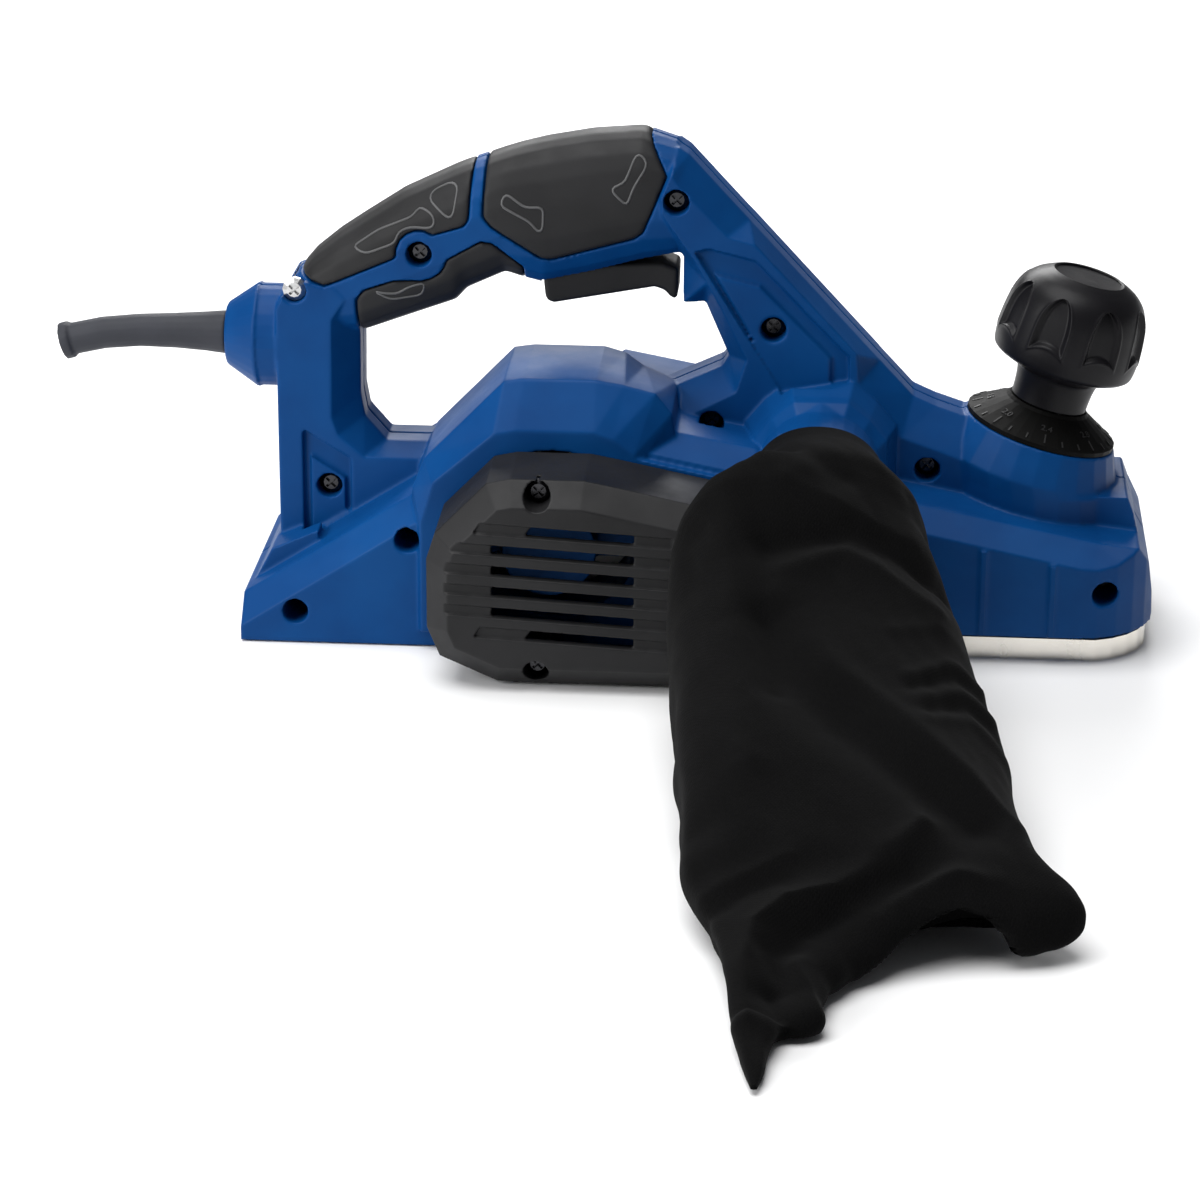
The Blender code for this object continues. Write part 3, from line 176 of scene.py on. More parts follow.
class Look:
    """A Principled material built up from procedural nodes in object space."""

    def __init__(self, name, **sockets):
        self.material = bpy.data.materials.new(name)
        self.material.use_nodes = True
        self.tree = self.material.node_tree
        self.shader = self.tree.nodes["Principled BSDF"]
        self.place = self.add("ShaderNodeTexCoord").outputs["Object"]
        for socket, value in sockets.items():
            self.shader.inputs[socket.replace("_", " ")].default_value = value

    def add(self, kind, **values):
        """A node, with its properties and input values by name."""
        node = self.tree.nodes.new(kind)
        for key, value in values.items():
            if key in node.bl_rna.properties:
                setattr(node, key, value)
            else:
                node.inputs[key.replace("_", " ")].default_value = value
        return node

    def link(self, a, b):
        self.tree.links.new(a, b)

    def mapped(self, **values):
        """The object's coordinates, turned or stretched."""
        mapping = self.add("ShaderNodeMapping", **values)
        self.link(self.place, mapping.inputs["Vector"])
        return mapping.outputs["Vector"]

    def noise(self, scale, detail=2.0, roughness=0.5, stretch=None):
        node = self.add("ShaderNodeTexNoise", Scale=scale, Detail=detail, Roughness=roughness)
        self.link(self.mapped(Scale=stretch) if stretch else self.place, node.inputs["Vector"])
        return node.outputs["Fac"]

    def threads(self, turn):
        """Parallel threads of the weave, turned by the given angles."""
        wave = self.add("ShaderNodeTexWave", Scale=420.0, Distortion=1.2, Detail=1.0)
        self.link(self.mapped(Rotation=turn), wave.inputs["Vector"])
        return wave.outputs["Fac"]

    def ramp(self, source, *stops):
        """A colour or grey ramp through two (position, value) stops."""
        node = self.add("ShaderNodeValToRGB")
        for element, (position, value) in zip(node.color_ramp.elements, stops):
            element.position = position
            colour = value if isinstance(value, tuple) else (value,) * 3
            element.color = (*colour, 1.0)
        self.link(source, node.inputs["Fac"])
        return node.outputs["Color"]

    def math(self, operation, *sources):
        node = self.add("ShaderNodeMath", operation=operation)
        for socket, source in zip(node.inputs, sources):
            self.link(source, socket)
        return node.outputs["Value"]

    def colour(self, source):
        self.link(source, self.shader.inputs["Base Color"])

    def roughness(self, source):
        self.link(source, self.shader.inputs["Roughness"])

    def bump(self, source, distance, strength):
        """Adds a bump on top of those already there."""
        node = self.add("ShaderNodeBump", Distance=distance, Strength=strength)
        self.link(source, node.inputs["Height"])
        before = self.shader.inputs["Normal"]
        if before.is_linked:
            self.link(before.links[0].from_socket, node.inputs["Normal"])
        self.link(node.outputs["Normal"], before)


def moulded(name, low, high, rough_low, rough_high, shine, grain=2600.0):
    """Moulded plastic: a fine spark-eroded grain, a little uneven in colour and gloss."""
    look = Look(name, Specular_IOR_Level=shine)
    look.colour(look.ramp(look.noise(38.0, 4.0), (0.35, low), (0.65, high)))
    look.roughness(look.ramp(look.noise(90.0, 5.0, 0.6), (0.35, rough_low), (0.7, rough_high)))
    look.bump(look.noise(grain, 3.0, 0.6), 0.00004, 0.6)
    look.bump(look.noise(60.0, 2.0), 0.0002, 0.25)
    return look.material


def fabric_look():
    """Black brushed weave: crossed threads, a fuzzy nap and faint dust."""
    look = Look("bag_fabric", Roughness=0.95, Sheen_Weight=0.02, Sheen_Roughness=0.5, Specular_IOR_Level=0.04)
    weave = look.math("MAXIMUM", look.threads((0.0, 0.0, 0.7)), look.threads((0.6, 0.0, -0.85)))
    fuzz = look.noise(2400.0, 3.0, 0.7)
    look.bump(look.math("MULTIPLY", weave, fuzz), 0.00015, 0.7)
    look.bump(look.noise(150.0, 3.0), 0.0005, 0.4)
    look.colour(look.ramp(fuzz, (0.3, (0.0018, 0.0018, 0.0019)), (0.8, (0.0048, 0.0047, 0.0048))))
    return look.material


def brushed(name, low, high, stretch, roughness):
    """Metal with fine scratches along one way."""
    look = Look(name, Metallic=1.0)
    scratches = look.noise(900.0, 5.0, 0.7, stretch)
    look.colour(look.ramp(scratches, (0.3, low), (0.7, high)))
    look.roughness(look.ramp(look.noise(120.0, 4.0), (0.3, roughness), (0.7, roughness + 0.14)))
    look.bump(scratches, 0.00003, 0.6)
    return look.material


# Name, darkest and lightest colour, lowest and highest roughness, shine and, where it is finer, the grain
PLASTICS = {
    "blue": ("blue_plastic", (0.0005, 0.043, 0.170), (0.0010, 0.055, 0.205), 0.42, 0.52, 0.12),
    "black": ("black_plastic", (0.0095, 0.0095, 0.0102), (0.0140, 0.0140, 0.0150), 0.48, 0.60, 0.25),
    "knob": ("knob_plastic", (0.0058, 0.0055, 0.0066), (0.0085, 0.0082, 0.0100), 0.36, 0.46, 0.17),
    "dial": ("dial_plastic", (0.0028, 0.0027, 0.0026), (0.0048, 0.0047, 0.0045), 0.5, 0.6, 0.07),
    "grip": ("grip_rubber", (0.0145, 0.0145, 0.0152), (0.0200, 0.0200, 0.0212), 0.50, 0.62, 0.20, 3400.0),
    # The grip lines are much lighter than the grip rubber: a painted highlight along the raised beads.
    "line": ("grip_lines_painted_highlight", (0.060, 0.061, 0.063), (0.085, 0.086, 0.088), 0.40, 0.50, 0.5, 3400.0),
    "boot": ("boot_rubber", (0.026, 0.028, 0.035), (0.036, 0.038, 0.047), 0.55, 0.66, 0.25, 3000.0),
    "mark": ("dial_marks", (0.010, 0.010, 0.010), (0.030, 0.030, 0.031), 0.4, 0.5, 0.4),
}
# Name, darkest and lightest colour, stretch of the scratches along X, Y and Z, and lowest roughness
METALS = {
    "aluminium": ("cast_aluminium", (0.90, 0.84, 0.74), (1.0, 0.97, 0.90), (1.0, 8.0, 8.0), 0.16),
    "steel": ("bright_steel", (0.50, 0.50, 0.50), (0.66, 0.66, 0.66), (6.0, 6.0, 6.0), 0.26),
    # The dark screw look is painted shade for the screws down in deep holes.
    "screw": ("black_zinc", (0.035, 0.035, 0.038), (0.07, 0.07, 0.075), (6.0, 6.0, 6.0), 0.22),
    "copper": ("copper_wire", (0.62, 0.24, 0.10), (0.80, 0.36, 0.17), (14.0, 1.0, 14.0), 0.3),
}


def make_materials():
    looks = {look: moulded(*values) for look, values in PLASTICS.items()}
    looks["fabric"] = fabric_look()
    looks.update({look: brushed(*values) for look, values in METALS.items()})
    return looks


# ---------------------------------------------------------------- CAD nodes that stay


KEPT_NODES = {
    "aluminium": ("rear_sole", "front_shoe", "cutter_drum", "clamp_bar_1", "clamp_bar_2"),
    "steel": (
        "blade_1",
        "blade_2",
        "drum_bearing_left",
        "drum_bearing_right",
        "motor_bearing_left",
        "motor_bearing_right",
        "motor_armature",
        "motor_stator",
        "depth_spindle",
    ),
    "copper": ("commutator",),
    "black": (
        "cooling_fan",
        "bag_collar",
        "switch_body",
        "drum_pulley",
        "drive_pulley",
        "brush_top",
        "brush_bottom",
    ),
    "dial": ("depth_dial",),
    "grip": ("drive_belt",),
}


def set_look(node, material):
    mesh = NODES[node].data
    if not mesh.materials:
        mesh.materials.append(material)
    for i in range(len(mesh.materials)):
        mesh.materials[i] = material


def give_looks(looks):
    """Better materials on the CAD nodes that stay."""
    for look, names in KEPT_NODES.items():
        for name in names:
            set_look(name, looks[look])
    for name in NODES:
        # Screws down in deep holes take the dark screw look as painted shade; the one on the post top and
        # those in the sole take bright steel.
        if name.startswith("screw_"):
            bright = name == "screw_post_top" or "sole" in name
            set_look(name, looks["steel" if bright else "screw"])


# ---------------------------------------------------------------- pieces made from the CAD


def dress(mesh, material, smooth=True):
    """One material and one kind of shading all over a mesh."""
    mesh.materials.clear()
    mesh.materials.append(material)
    for polygon in mesh.polygons:
        polygon.use_smooth = smooth


def new_piece(name, mesh, material, body, smooth=True):
    """A piece of the machine, which moves with a body."""
    dress(mesh, material, smooth)
    piece = placed(name, mesh)
    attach(piece, body)
    return piece


def bake(obj):
    """Applies an object's modifiers."""
    bpy.context.view_layer.update()
    graph = bpy.context.evaluated_depsgraph_get()
    mesh = bpy.data.meshes.new_from_object(obj.evaluated_get(graph))
    obj.modifiers.clear()
    obj.data = mesh


def welded_copy(node):
    """A copy of a CAD node's mesh as one closed skin."""
    bm = bmesh.new()
    bm.from_mesh(NODES[node].data)
    bmesh.ops.remove_doubles(bm, verts=bm.verts, dist=1e-6)
    return finished(bm, node + "_skin")


def softened(node, name, material, body, voxel, rounds=1):
    """The CAD node's shape with its edges rounded as a mould leaves them."""
    piece = new_piece(name, welded_copy(node), material, body)
    remesh = piece.modifiers.new("remesh", "REMESH")
    remesh.mode = "VOXEL"
    remesh.voxel_size = voxel * MM
    smooth = piece.modifiers.new("smooth", "SMOOTH")
    smooth.factor = 0.5
    smooth.iterations = rounds
    bake(piece)
    dress(piece.data, material)
    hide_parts(node)
    return piece


def make_shells(looks):
    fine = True
    blue, black = looks["blue"], looks["black"]
    for side in ("right", "left"):
        softened(f"housing_{side}", f"shell_{side}", blue, "base", 0.6 if fine else 1.4)
    softened("vent_cover", "vent_shell", black, "base", 0.38 if fine else 0.7)
    softened("belt_cover", "belt_shell", black, "base", 0.6 if fine else 1.0)


def make_controls(looks):
    """The cord boot, the trigger and its lock button."""
    softened("cord_boot", "boot_skin", looks["boot"], "base", 0.45, 8)
    softened("trigger", "trigger_skin", looks["black"], "trigger", 0.5)
    softened("lock_button", "button_skin", looks["black"], "lock_button", 0.35)


# ---------------------------------------------------------------- grips


# Raised outlines on the grips, as (x, z) corners of the side view
GRIP_MARKS = {
    "rear_flash": (
        (-47.4, 124.0), (-39.0, 129.8), (-27.4, 134.8), (-26.0, 137.8), (-21.1, 135.5), (-20.5, 132.6),
        (-22.0, 131.2), (-28.6, 131.4), (-32.4, 129.8), (-33.4, 126.1), (-43.2, 122.2),
    ),
    "rear_corner": (
        (-23.0, 140.0), (-21.6, 142.3), (-15.6, 145.3), (-13.4, 144.4), (-14.7, 135.6), (-16.2, 134.5),
    ),
    "front_arrow_low": (
        (0.2, 139.4), (1.6, 142.7), (3.0, 142.7), (8.4, 138.8), (14.2, 139.2), (14.0, 131.6),
        (12.3, 130.8), (10.5, 133.9),
    ),
    "front_arrow_high": (
        (43.3, 156.0), (45.0, 156.3), (47.3, 153.6), (42.6, 145.8), (40.8, 140.2), (35.9, 144.8),
        (36.4, 146.4), (39.8, 147.2),
    ),
    "lower_flash": (
        (-40.6, 110.2), (-35.0, 107.2), (-25.0, 108.7), (-23.8, 113.2), (-29.9, 111.4), (-32.6, 109.2),
        (-37.6, 109.4),
    ),
}
BEAD_RADIUS, BEAD_FLATNESS, BEAD_SIDES, BEAD_STEP = 0.42, 0.7, 6, 1.2
# A distance from the middle plane that is clear of the grips
OUTSIDE = 60.0


def surface_of(pieces):
    """A tree of the given pieces, to lay raised lines on."""
    bm = bmesh.new()
    for piece in pieces:
        bm.from_mesh(piece.data)
    tree = BVHTree.FromBMesh(bm)
    bm.free()
    return tree


def laid_outline(outline, tree, side):
    """The outline's points and normals on the surface, seen from one side."""
    path = []
    for i, corner in enumerate(outline):
        a, b = Vector(corner), Vector(outline[(i + 1) % len(outline)])
        steps = max(2, int((b - a).length / BEAD_STEP))
        for k in range(steps):
            x, z = a.lerp(b, k / steps)
            start = Vector((x, side * OUTSIDE, z)) * MM
            place, normal, _, _ = tree.ray_cast(start, Vector((0.0, -side, 0.0)))
            if place is not None:
                path.append((place, normal))
    return path


def raised_line(name, outline, tree, side, material):
    """A closed bead along an outline of the side view, laid on the surface."""
    path = laid_outline(outline, tree, side)
    points = [place for place, _ in path]
    count = len(points)
    for _ in range(2):
        points = [(points[i - 1] + points[i] * 2 + points[(i + 1) % count]) / 4 for i in range(count)]
    bm = bmesh.new()
    rings = []
    for i, point in enumerate(points):
        run = (points[(i + 1) % count] - points[i - 1]).normalized()
        out = path[i][1].normalized()
        across = run.cross(out).normalized()
        ring = []
        for angle in angles(BEAD_SIDES):
            offset = across * math.cos(angle) + out * math.sin(angle) * BEAD_FLATNESS
            ring.append(bm.verts.new(point + offset * BEAD_RADIUS * MM))
        rings.append(ring)
    join_rings(bm, rings + rings[:1])
    bmesh.ops.recalc_face_normals(bm, faces=bm.faces)
    new_piece(name, finished(bm, name), material, "base")


def make_grips(looks):
    grips = [
        softened(f"grip_{grip}", f"soft_grip_{grip}", looks["grip"], "base", 0.45, 36)
        for grip in ("rear", "lower", "main")
    ]
    tree = surface_of(grips)
    # The beads take the light grip-line look, a painted highlight along them.
    for name, outline in GRIP_MARKS.items():
        for side, word in ((-1, "right"), (1, "left")):
            raised_line(f"{name}_{word}", outline, tree, side, looks["line"])


# ---------------------------------------------------------------- knob


KNOB_TILT = math.radians(15.0)
DIAL_CENTRE = Vector((174.9, 0.0, 65.3))

# The knob's outline, as (height, radius) from its neck to its top
KNOB_PROFILE = (
    (9.4, 12.4), (12.0, 12.5), (15.5, 12.8), (18.4, 13.4), (19.6, 14.2), (20.6, 16.2), (21.8, 18.9),
    (22.9, 21.3), (23.5, 22.2), (24.3, 22.9), (26.2, 23.3), (29.0, 23.5), (33.0, 23.3), (37.0, 22.9),
    (41.0, 22.3), (44.6, 21.2), (47.6, 19.5), (50.0, 17.0), (51.6, 14.2), (52.4, 12.5), (52.7, 11.7),
    (52.4, 11.1), (52.0, 10.8), (51.8, 6.0), (51.8, 0.05),
)
# How many points go round the knob, and how many rounds along it
KNOB_GRID = (432, 260)
BORE_RADIUS, BORE_TOP = 4.3, 36.0

# The arched finger recesses: heights, and half their width as a share of half the way to the next
RECESSES = 8
RECESS_PHASE = math.radians(23.0)
RECESS_FOOT, RECESS_STRAIGHT, RECESS_TOP = 29.6, 35.0, 47.8
RECESS_HALF = 0.64


def knob_point(height, forward=0.0, side=0.0):
    """A point of the knob, by its place along and across the tilted axis."""
    axis = Vector((math.sin(KNOB_TILT), 0.0, math.cos(KNOB_TILT)))
    ahead = Vector((math.cos(KNOB_TILT), 0.0, -math.sin(KNOB_TILT)))
    return (DIAL_CENTRE + axis * height + ahead * forward + Vector((0.0, side, 0.0))) * MM


def knob_recess(angle, height):
    """How deep the arched finger recesses go at a place on the knob's side, less the thin bead round each."""
    if height > RECESS_TOP + 1.0:
        return 0.0
    period = 2 * math.pi / RECESSES
    offset = (angle - RECESS_PHASE + period / 2) % period - period / 2
    across = abs(offset) / (period / 2)
    foot = RECESS_FOOT + 2.2 * (1 - (across / RECESS_HALF) ** 2)
    climb = max(0.0, height - RECESS_STRAIGHT) / (RECESS_TOP - RECESS_STRAIGHT)
    arch = RECESS_HALF * math.sqrt(max(0.0, 1.0 - climb**2.8))
    inside = min((arch - across) * 8.0, height - foot)
    bead = 0.28 * math.exp(-((inside / 0.45) ** 2)) if arch > 0.0 else 0.0
    scoop = 1.9 - 0.6 * (across / RECESS_HALF) ** 2
    return scoop * smoothstep(0.0, 1.5, inside) * smoothstep(0.0, 0.25, arch) - bead


def knob_ring(bm, height, reaches):
    """A round of vertices at a height, with its radius at each angle."""
    places = zip(angles(len(reaches)), reaches)
    return [bm.verts.new(knob_point(height, reach * math.cos(a), reach * math.sin(a))) for a, reach in places]


def make_knob(looks):
    around, along = angles(KNOB_GRID[0]), KNOB_GRID[1]
    profile = np.array(KNOB_PROFILE)
    bm = bmesh.new()
    rings = []
    for j in range(along + 1):
        height, radius = along_curve(profile, j / along)
        rings.append(knob_ring(bm, height, [radius - knob_recess(a, height) for a in around]))
    join_rings(bm, rings)
    bm.faces.new(rings[-1])
    bore = [BORE_RADIUS] * len(around)
    mouth, deep = (knob_ring(bm, height, bore) for height in (KNOB_PROFILE[0][0], BORE_TOP))
    join_rings(bm, (deep, mouth, rings[0]))
    bm.faces.new(deep)
    bmesh.ops.recalc_face_normals(bm, faces=bm.faces)
    piece = new_piece("knob_head", finished(bm, "knob_head"), looks["knob"], "knob")
    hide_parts("depth_knob")


# ---------------------------------------------------------------- dial


# The dial's cone, from its rim to its neck
DIAL_RIM_RADIUS, DIAL_RIM_HEIGHT = 24.7, 1.4
DIAL_NECK_RADIUS, DIAL_NECK_HEIGHT = 13.8, 8.0
TICKS, NUMBERS = 24, 8
TICK_MARGIN, TICK_WIDTH, TICK_HEIGHT = 0.8, 0.45, 0.36
NUMBER_INWARD, NUMBER_SIZE, NUMBER_HEIGHT, NUMBER_STEP = 6.3, 3.2, 0.16, 0.4


def on_dial(angle, inward):
    """The frame of a place on the dial's cone, a distance in from its rim."""
    slope = math.atan2(DIAL_NECK_HEIGHT - DIAL_RIM_HEIGHT, DIAL_RIM_RADIUS - DIAL_NECK_RADIUS)
    place = Vector((DIAL_RIM_RADIUS - inward, 0.0, DIAL_RIM_HEIGHT + inward * math.tan(slope)))
    return (
        Matrix.Translation(knob_point(0.0))
        @ Matrix.Rotation(KNOB_TILT, 4, "Y")
        @ Matrix.Rotation(angle, 4, "Z")
        @ Matrix.Translation(place * MM)
        @ Matrix.Rotation(slope, 4, "Y")
    )


def make_dial_ticks(looks):
    bm = bmesh.new()
    for i, angle in enumerate(angles(TICKS)):
        length = 3.6 if i % 3 == 0 else 2.2
        tick = bmesh.ops.create_cube(bm, size=1.0)["verts"]
        bmesh.ops.scale(bm, vec=(length * MM, TICK_WIDTH * MM, TICK_HEIGHT * MM), verts=tick)
        bmesh.ops.transform(bm, matrix=on_dial(angle, TICK_MARGIN + length / 2), verts=tick)
    new_piece("dial_ticks", finished(bm, "dial_ticks"), looks["mark"], "knob", smooth=False)


def make_dial_numbers(looks):
    """Plain raised numbers round the dial's cone."""
    for i, angle in enumerate(angles(NUMBERS)):
        curve = bpy.data.curves.new("number", "FONT")
        curve.body = f"{i * NUMBER_STEP:.1f}" if i else "0"
        curve.size = NUMBER_SIZE * MM
        curve.extrude = NUMBER_HEIGHT * MM
        curve.align_x = "CENTER"
        curve.align_y = "CENTER"
        text = placed("number", curve)
        text.matrix_world = on_dial(angle, NUMBER_INWARD) @ Matrix.Rotation(math.pi / 2, 4, "Z")
        bpy.context.view_layer.update()
        mesh = bpy.data.meshes.new_from_object(text.evaluated_get(bpy.context.evaluated_depsgraph_get()))
        mesh.transform(text.matrix_world)
        bpy.data.objects.remove(text)
        new_piece(f"dial_number_{i}", mesh, looks["mark"], "knob", smooth=False)


# ---------------------------------------------------------------- front ribs


# Upright ribs on the sides of the front skirt: (x, top), and their reach from the middle plane
FRONT_RIBS = ((157.0, 38.4), (179.0, 33.8))
RIB_FOOT, RIB_INNER, RIB_OUTER, RIB_HALF_WIDTH = 10.0, 46.0, 47.9, 0.9
RIB_ROUNDING = 0.25


def make_ribs(looks):
    for side, way in (("right", -1), ("left", 1)):
        bm = bmesh.new()
        for x, top in FRONT_RIBS:
            cube = bmesh.ops.create_cube(bm, size=1.0)["verts"]
            size = (2 * RIB_HALF_WIDTH, RIB_OUTER - RIB_INNER, top - RIB_FOOT)
            bmesh.ops.scale(bm, vec=size, verts=cube)
            middle = (x, way * (RIB_INNER + RIB_OUTER) / 2, (RIB_FOOT + top) / 2)
            bmesh.ops.translate(bm, vec=middle, verts=cube)
        bmesh.ops.bevel(
            bm, geom=bm.edges[:], offset=RIB_ROUNDING, segments=3, affect="EDGES", profile=0.5
        )
        bmesh.ops.scale(bm, vec=(MM, MM, MM), verts=bm.verts)
        new_piece(f"front_ribs_{side}", finished(bm, f"ribs_{side}"), looks["blue"], "base")


# ---------------------------------------------------------------- depth spring


def make_spring(looks):
    """The coil between housing and shoe, copied from the CAD and carried by the base."""
    piece = new_piece("coil_spring", welded_copy("depth_spring"), looks["steel"], "base")
    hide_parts("depth_spring")
    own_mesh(piece)


# ---------------------------------------------------------------- dust bag


# The bag's outline along its length: (y, rear edge x, front edge x, bottom, top, where the crest lies
# from rear 0 to front 1)
BAG_STATIONS = (
    (-57.0, 82.4, 125.6, 38.4, 81.6, 0.50),
    (-66.0, 82.0, 126.8, 36.0, 82.2, 0.50),
    (-76.0, 80.6, 133.0, 27.0, 83.6, 0.48),
    (-86.0, 77.0, 139.6, 13.0, 84.6, 0.45),
    (-93.0, 64.0, 142.0, 4.0, 83.6, 0.44),
    (-100.0, 61.0, 142.6, 1.2, 80.4, 0.44),
    (-107.0, 60.4, 145.6, 0.8, 76.0, 0.44),
    (-118.0, 60.6, 148.6, 0.6, 69.6, 0.44),
    (-134.0, 61.4, 151.2, 0.6, 62.4, 0.44),
    (-152.0, 63.0, 154.6, 0.6, 56.6, 0.43),
    (-172.0, 64.6, 158.6, 0.6, 51.4, 0.42),
    (-192.0, 66.4, 161.2, 0.6, 46.6, 0.42),
    (-212.0, 68.4, 163.0, 0.6, 42.0, 0.43),
    (-230.0, 69.6, 165.6, 0.6, 37.0, 0.46),
    (-242.0, 70.4, 168.6, 0.6, 33.0, 0.49),
    (-252.0, 71.8, 173.6, 0.6, 29.0, 0.51),
    (-260.0, 74.4, 179.4, 0.6, 25.0, 0.52),
    (-267.0, 77.4, 180.2, 0.6, 22.0, 0.50),
    (-273.0, 79.6, 168.0, 0.6, 19.6, 0.47),
    (-278.0, 81.2, 142.0, 0.6, 17.6, 0.43),
    (-285.0, 84.0, 125.0, 0.6, 15.6, 0.38),
    (-297.0, 86.6, 115.0, 0.6, 13.0, 0.34),
    (-308.0, 88.0, 111.6, 0.6, 10.6, 0.33),
    (-316.0, 89.0, 110.0, 0.6, 8.4, 0.34),
    (-321.0, 89.8, 106.0, 0.6, 7.4, 0.38),
    (-325.0, 90.4, 101.4, 0.6, 8.4, 0.42),
    (-334.0, 91.6, 98.8, 0.6, 6.8, 0.46),
    (-343.0, 93.0, 97.6, 0.6, 5.0, 0.50),
    (-350.0, 94.6, 96.2, 0.6, 3.0, 0.50),
)

# Folds: (height, width, how soft the crest is, points of the crest line), heights below zero are valleys
BAG_FOLDS = (
    (3.2, 7.0, 1.2, [
        (79, -101, 74), (80, -114, 67), (81, -128, 60), (82, -150, 54), (84, -175, 47), (87, -200, 41),
        (90, -222, 36),
    ]),
    (-3.4, 9.0, 2.0, [(69, -112, 60), (70, -140, 45), (72, -175, 35), (75, -215, 28), (77, -240, 22)]),
    (-2.0, 5.0, 1.6, [(90, -130, 62), (91, -160, 54), (95, -190, 46)]),
    (3.0, 7.0, 1.2, [
        (93, -146, 57), (112, -180, 49), (125, -194, 45), (139, -213, 40), (153, -228, 34),
        (163, -238, 28),
    ]),
    (-5.0, 9.0, 1.7, [
        (93, -155, 54), (102, -182, 48), (115, -205, 43), (129, -221, 38), (143, -235, 34),
        (152, -243, 31),
    ]),
    (2.8, 5.5, 1.2, [(95, -102, 77), (115, -111, 72), (130, -115, 66)]),
    (-4.6, 6.5, 1.6, [
        (90, -123, 66), (104, -121, 68), (115, -118, 69), (128, -120, 65), (139, -124, 57),
        (145, -120, 48),
    ]),
    (3.0, 6.0, 1.2, [(97, -134, 61), (113, -126, 65), (125, -134, 61), (140, -143, 51)]),
    (2.0, 5.0, 1.3, [(84, -76, 80), (88, -88, 81), (98, -96, 79)]),
    (-2.0, 4.5, 1.6, [(92, -80, 83), (100, -90, 82), (112, -98, 78)]),
    (1.2, 2.8, 1.5, [(134, -179, 48), (145, -166, 46), (153, -168, 38)]),
    (-1.1, 2.8, 1.6, [(134, -185, 47), (146, -172, 45), (155, -174, 36)]),
    (1.1, 2.8, 1.5, [(137, -190, 46), (148, -179, 42), (156, -182, 34)]),
    (-1.0, 2.8, 1.6, [(138, -195, 44), (150, -185, 41), (158, -189, 31)]),
    (1.0, 3.0, 1.5, [(139, -201, 42), (151, -192, 39), (159, -198, 29)]),
    (0.9, 3.0, 1.5, [(128, -158, 52), (140, -150, 49), (148, -152, 40)]),
    (3.4, 5.0, 1.2, [
        (137, -246, 31), (127, -261, 26), (115, -269, 21), (101, -274, 19), (93, -283, 16),
        (91, -300, 13), (93, -325, 8),
    ]),
    (-4.4, 6.0, 1.7, [(132, -264, 22), (118, -275, 18), (106, -284, 15), (100, -293, 12), (100, -308, 8)]),
    (1.5, 4.5, 1.4, [(101, -258, 25), (91, -262, 22), (80, -266, 15)]),
    (-1.2, 4.5, 1.6, [(98, -266, 22), (89, -270, 19), (82, -274, 12)]),
    (3.2, 4.5, 1.2, [(104, -298, 12), (108, -308, 10), (110, -316, 6)]),
    (-2.2, 3.6, 1.6, [(98, -312, 8), (101, -320, 6), (104, -325, 3)]),
    (4.4, 4.2, 1.2, [(126, -274, 13), (136, -269, 19), (146, -264, 22), (155, -263, 19), (161, -266, 11)]),
    (-3.0, 6.0, 2.0, [(134, -280, 8), (144, -276, 10), (154, -273, 9)]),
)
# How far the hem at the far end hangs above the table, and the top of the hollow under it: (x, height)
HEM = ((114.0, 0.0), (124.0, 3.4), (136.0, 6.4), (148.0, 9.0), (158.0, 8.4), (165.0, 3.0), (171.0, 0.0))
HOLLOW_ARCH = (
    (120.0, 2.0), (130.0, 9.0), (140.0, 16.0), (147.0, 18.5), (154.0, 16.0), (160.0, 9.0), (164.0, 0.0),
)
HOLLOW_DEPTH = 13.0
# How many points go round the bag, and how many rounds along it
BAG_GRID = (200, 300)
# The sleeve on the collar: its axis, radius, and from where to where it reaches into the bag
SLEEVE_X, SLEEVE_Z, SLEEVE_RADIUS = 104.0, 60.0, 20.6
SLEEVE_MOUTH, SLEEVE_END = -57.0, -74.0
TIP_LENGTH = 0.8
# The least height of the bag's skin over the table
TABLE_GAP = 0.5


def distance_to_line(points, line):
    """Each point's distance to a line of several stretches."""
    best = np.full(len(points), 1e9)
    for a, b in zip(line, line[1:]):
        run = b - a
        t = np.clip(((points - a) @ run) / (run @ run), 0.0, 1.0)
        best = np.minimum(best, np.linalg.norm(points - a - t[:, None] * run, axis=1))
    return best


def fade_in(values, start, length):
    """0 up to start, then a straight rise to 1."""
    return np.clip((values - start) / length, 0.0, 1.0)


def hollow(points):
    """How far the far end is pushed in below its arched hem."""
    x, y, z = points.T
    arch = np.interp(x, *np.array(HOLLOW_ARCH).T)
    return HOLLOW_DEPTH * fade_in(-y, 252.0, 14.0) * fade_in(arch - z, 0.0, 3.0)


def wrinkle(x, y, z):
    """Small creases that run along the bag's slanting folds."""
    along, across = 0.45 * x - 0.9 * y, 0.9 * x + 0.45 * y
    broad = noise.noise(Vector((across / 13.0, along / 48.0, z / 20.0)))
    fine = noise.noise(Vector((across / 5.0, along / 20.0, z / 9.0 + 7.0)))
    return 1.3 * broad + 0.5 * fine


def bag_outline(station):
    """One round of the bag's skin: a squarish oval with its crest to one side."""
    y, rear, front, bottom, top, crest = station
    power = 2 / (2.2 + 0.5 * smoothstep(80.0, 130.0, -y))
    outline = []
    for angle in angles(BAG_GRID[0]):
        c, s = math.cos(angle), math.sin(angle)
        across = 0.5 + 0.5 * math.copysign(abs(c) ** power, c) + (crest - 0.5) * max(s, 0.0)
        upward = 0.5 + 0.5 * math.copysign(abs(s) ** power, s)
        outline.append((rear + across * (front - rear), y, bottom + upward * (top - bottom)))
    return outline


def sleeve_outline(y):
    """One round of the sleeve inside the bag's mouth."""
    radius = SLEEVE_RADIUS
    return [(SLEEVE_X + radius * math.cos(a), y, SLEEVE_Z + radius * math.sin(a)) for a in angles(BAG_GRID[0])]


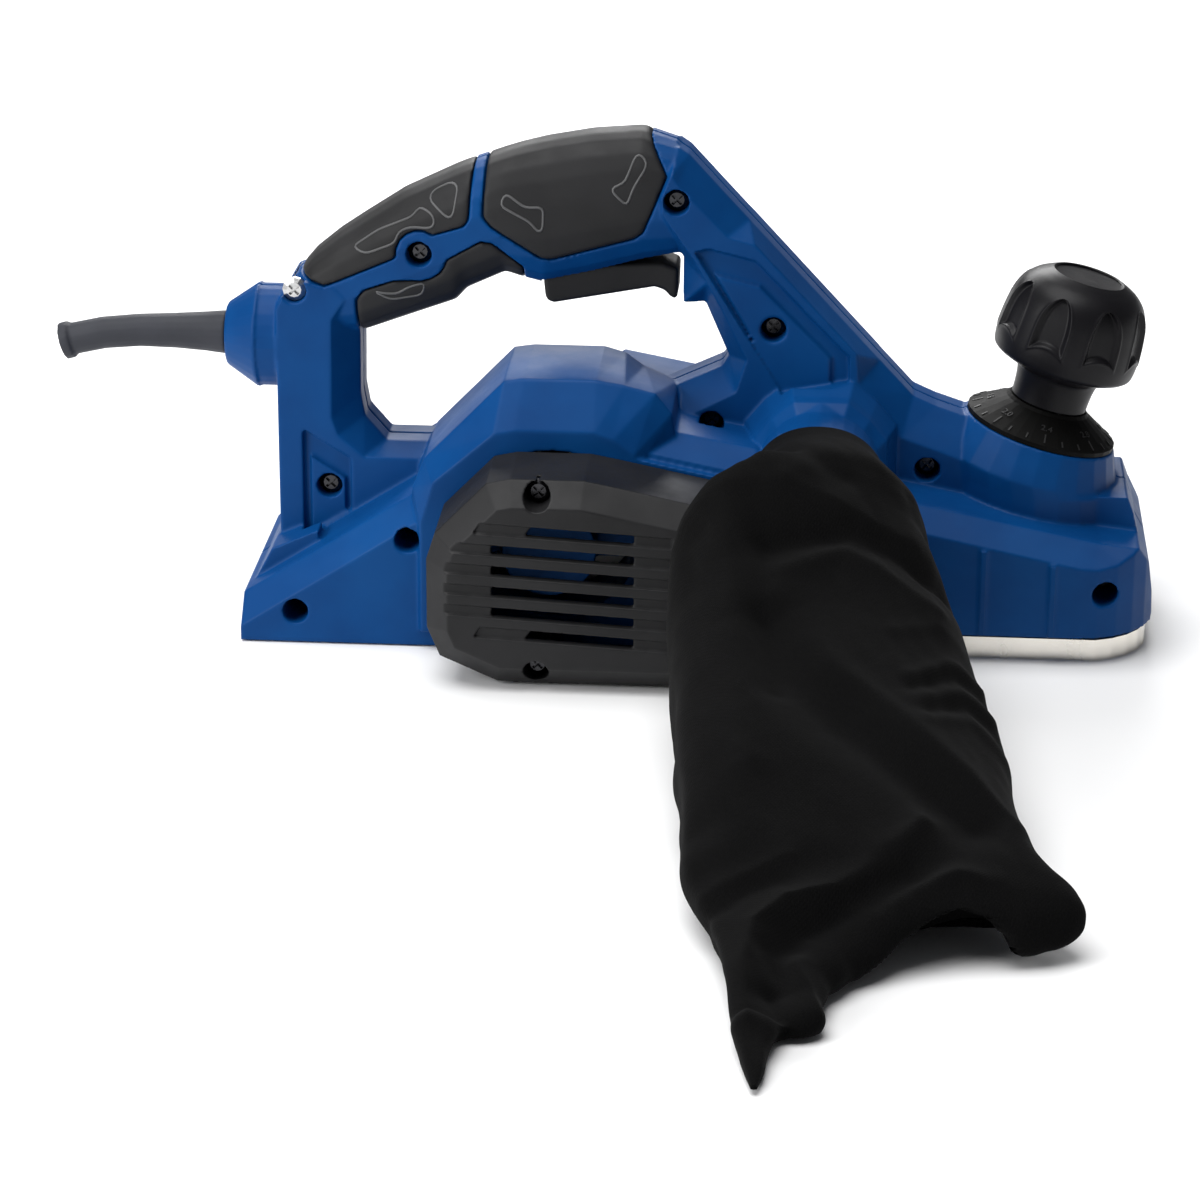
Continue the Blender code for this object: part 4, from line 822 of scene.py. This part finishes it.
def bag_skin():
    """The bag as a smooth closed skin in millimetres, before its folds."""
    rows = np.array(BAG_STATIONS)
    count = BAG_GRID[1]
    bm = bmesh.new()
    outlines = [bag_outline(along_curve(rows, j / count)) for j in range(count + 1)]
    rings = [[bm.verts.new(place) for place in outline] for outline in outlines]
    join_rings(bm, rings)
    y, rear, front, bottom, top, _ = BAG_STATIONS[-1]
    tip = bm.verts.new(((rear + front) / 2, y - TIP_LENGTH, (bottom + top) / 2))
    last = rings[-1]
    for i, vert in enumerate(last):
        bm.faces.new((vert, last[(i + 1) % len(last)], tip))
    inner, deep = ([bm.verts.new(place) for place in sleeve_outline(y)] for y in (SLEEVE_MOUTH, SLEEVE_END))
    join_rings(bm, (deep, inner, rings[0]))
    bm.faces.new(deep)
    bmesh.ops.recalc_face_normals(bm, faces=bm.faces)
    bm.normal_update()
    return bm


def folded(points, normals):
    """The skin's points with folds, creases, raised hem and hollow end."""
    moves = np.zeros(len(points))
    for height, width, softness, line in BAG_FOLDS:
        gap = distance_to_line(points, np.array(line, float))
        moves += height * np.exp(-((gap / width) ** softness))
    moves += np.array([wrinkle(*place) for place in points])
    far = -points[:, 1]
    moves *= fade_in(far, 70.0, 14.0) * (1.0 - fade_in(far, 338.0, 12.0))
    points = points + normals * moves[:, None]
    hem = np.interp(points[:, 0], *np.array(HEM).T) * fade_in(-points[:, 1], 246.0, 22.0)
    points[:, 2] = np.maximum(points[:, 2], TABLE_GAP + hem)
    points[:, 1] += hollow(points)
    return points


def make_bag(looks):
    bm = bag_skin()
    points = np.array([v.co for v in bm.verts])
    normals = np.array([v.normal for v in bm.verts])
    for vert, place in zip(bm.verts, folded(points, normals)):
        vert.co = Vector(place) * MM
    piece = new_piece("dust_sack", finished(bm, "dust_sack"), looks["fabric"], "dust_bag")
    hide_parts("dust_bag")


# ---------------------------------------------------------------- assembly


def main():
    make_camera()
    light_scene()
    make_floor()
    looks = make_materials()
    give_looks(looks)
    make_shells(looks)
    make_grips(looks)
    make_controls(looks)
    make_knob(looks)
    make_dial_ticks(looks)
    make_dial_numbers(looks)
    make_ribs(looks)
    make_spring(looks)
    make_bag(looks)


main()
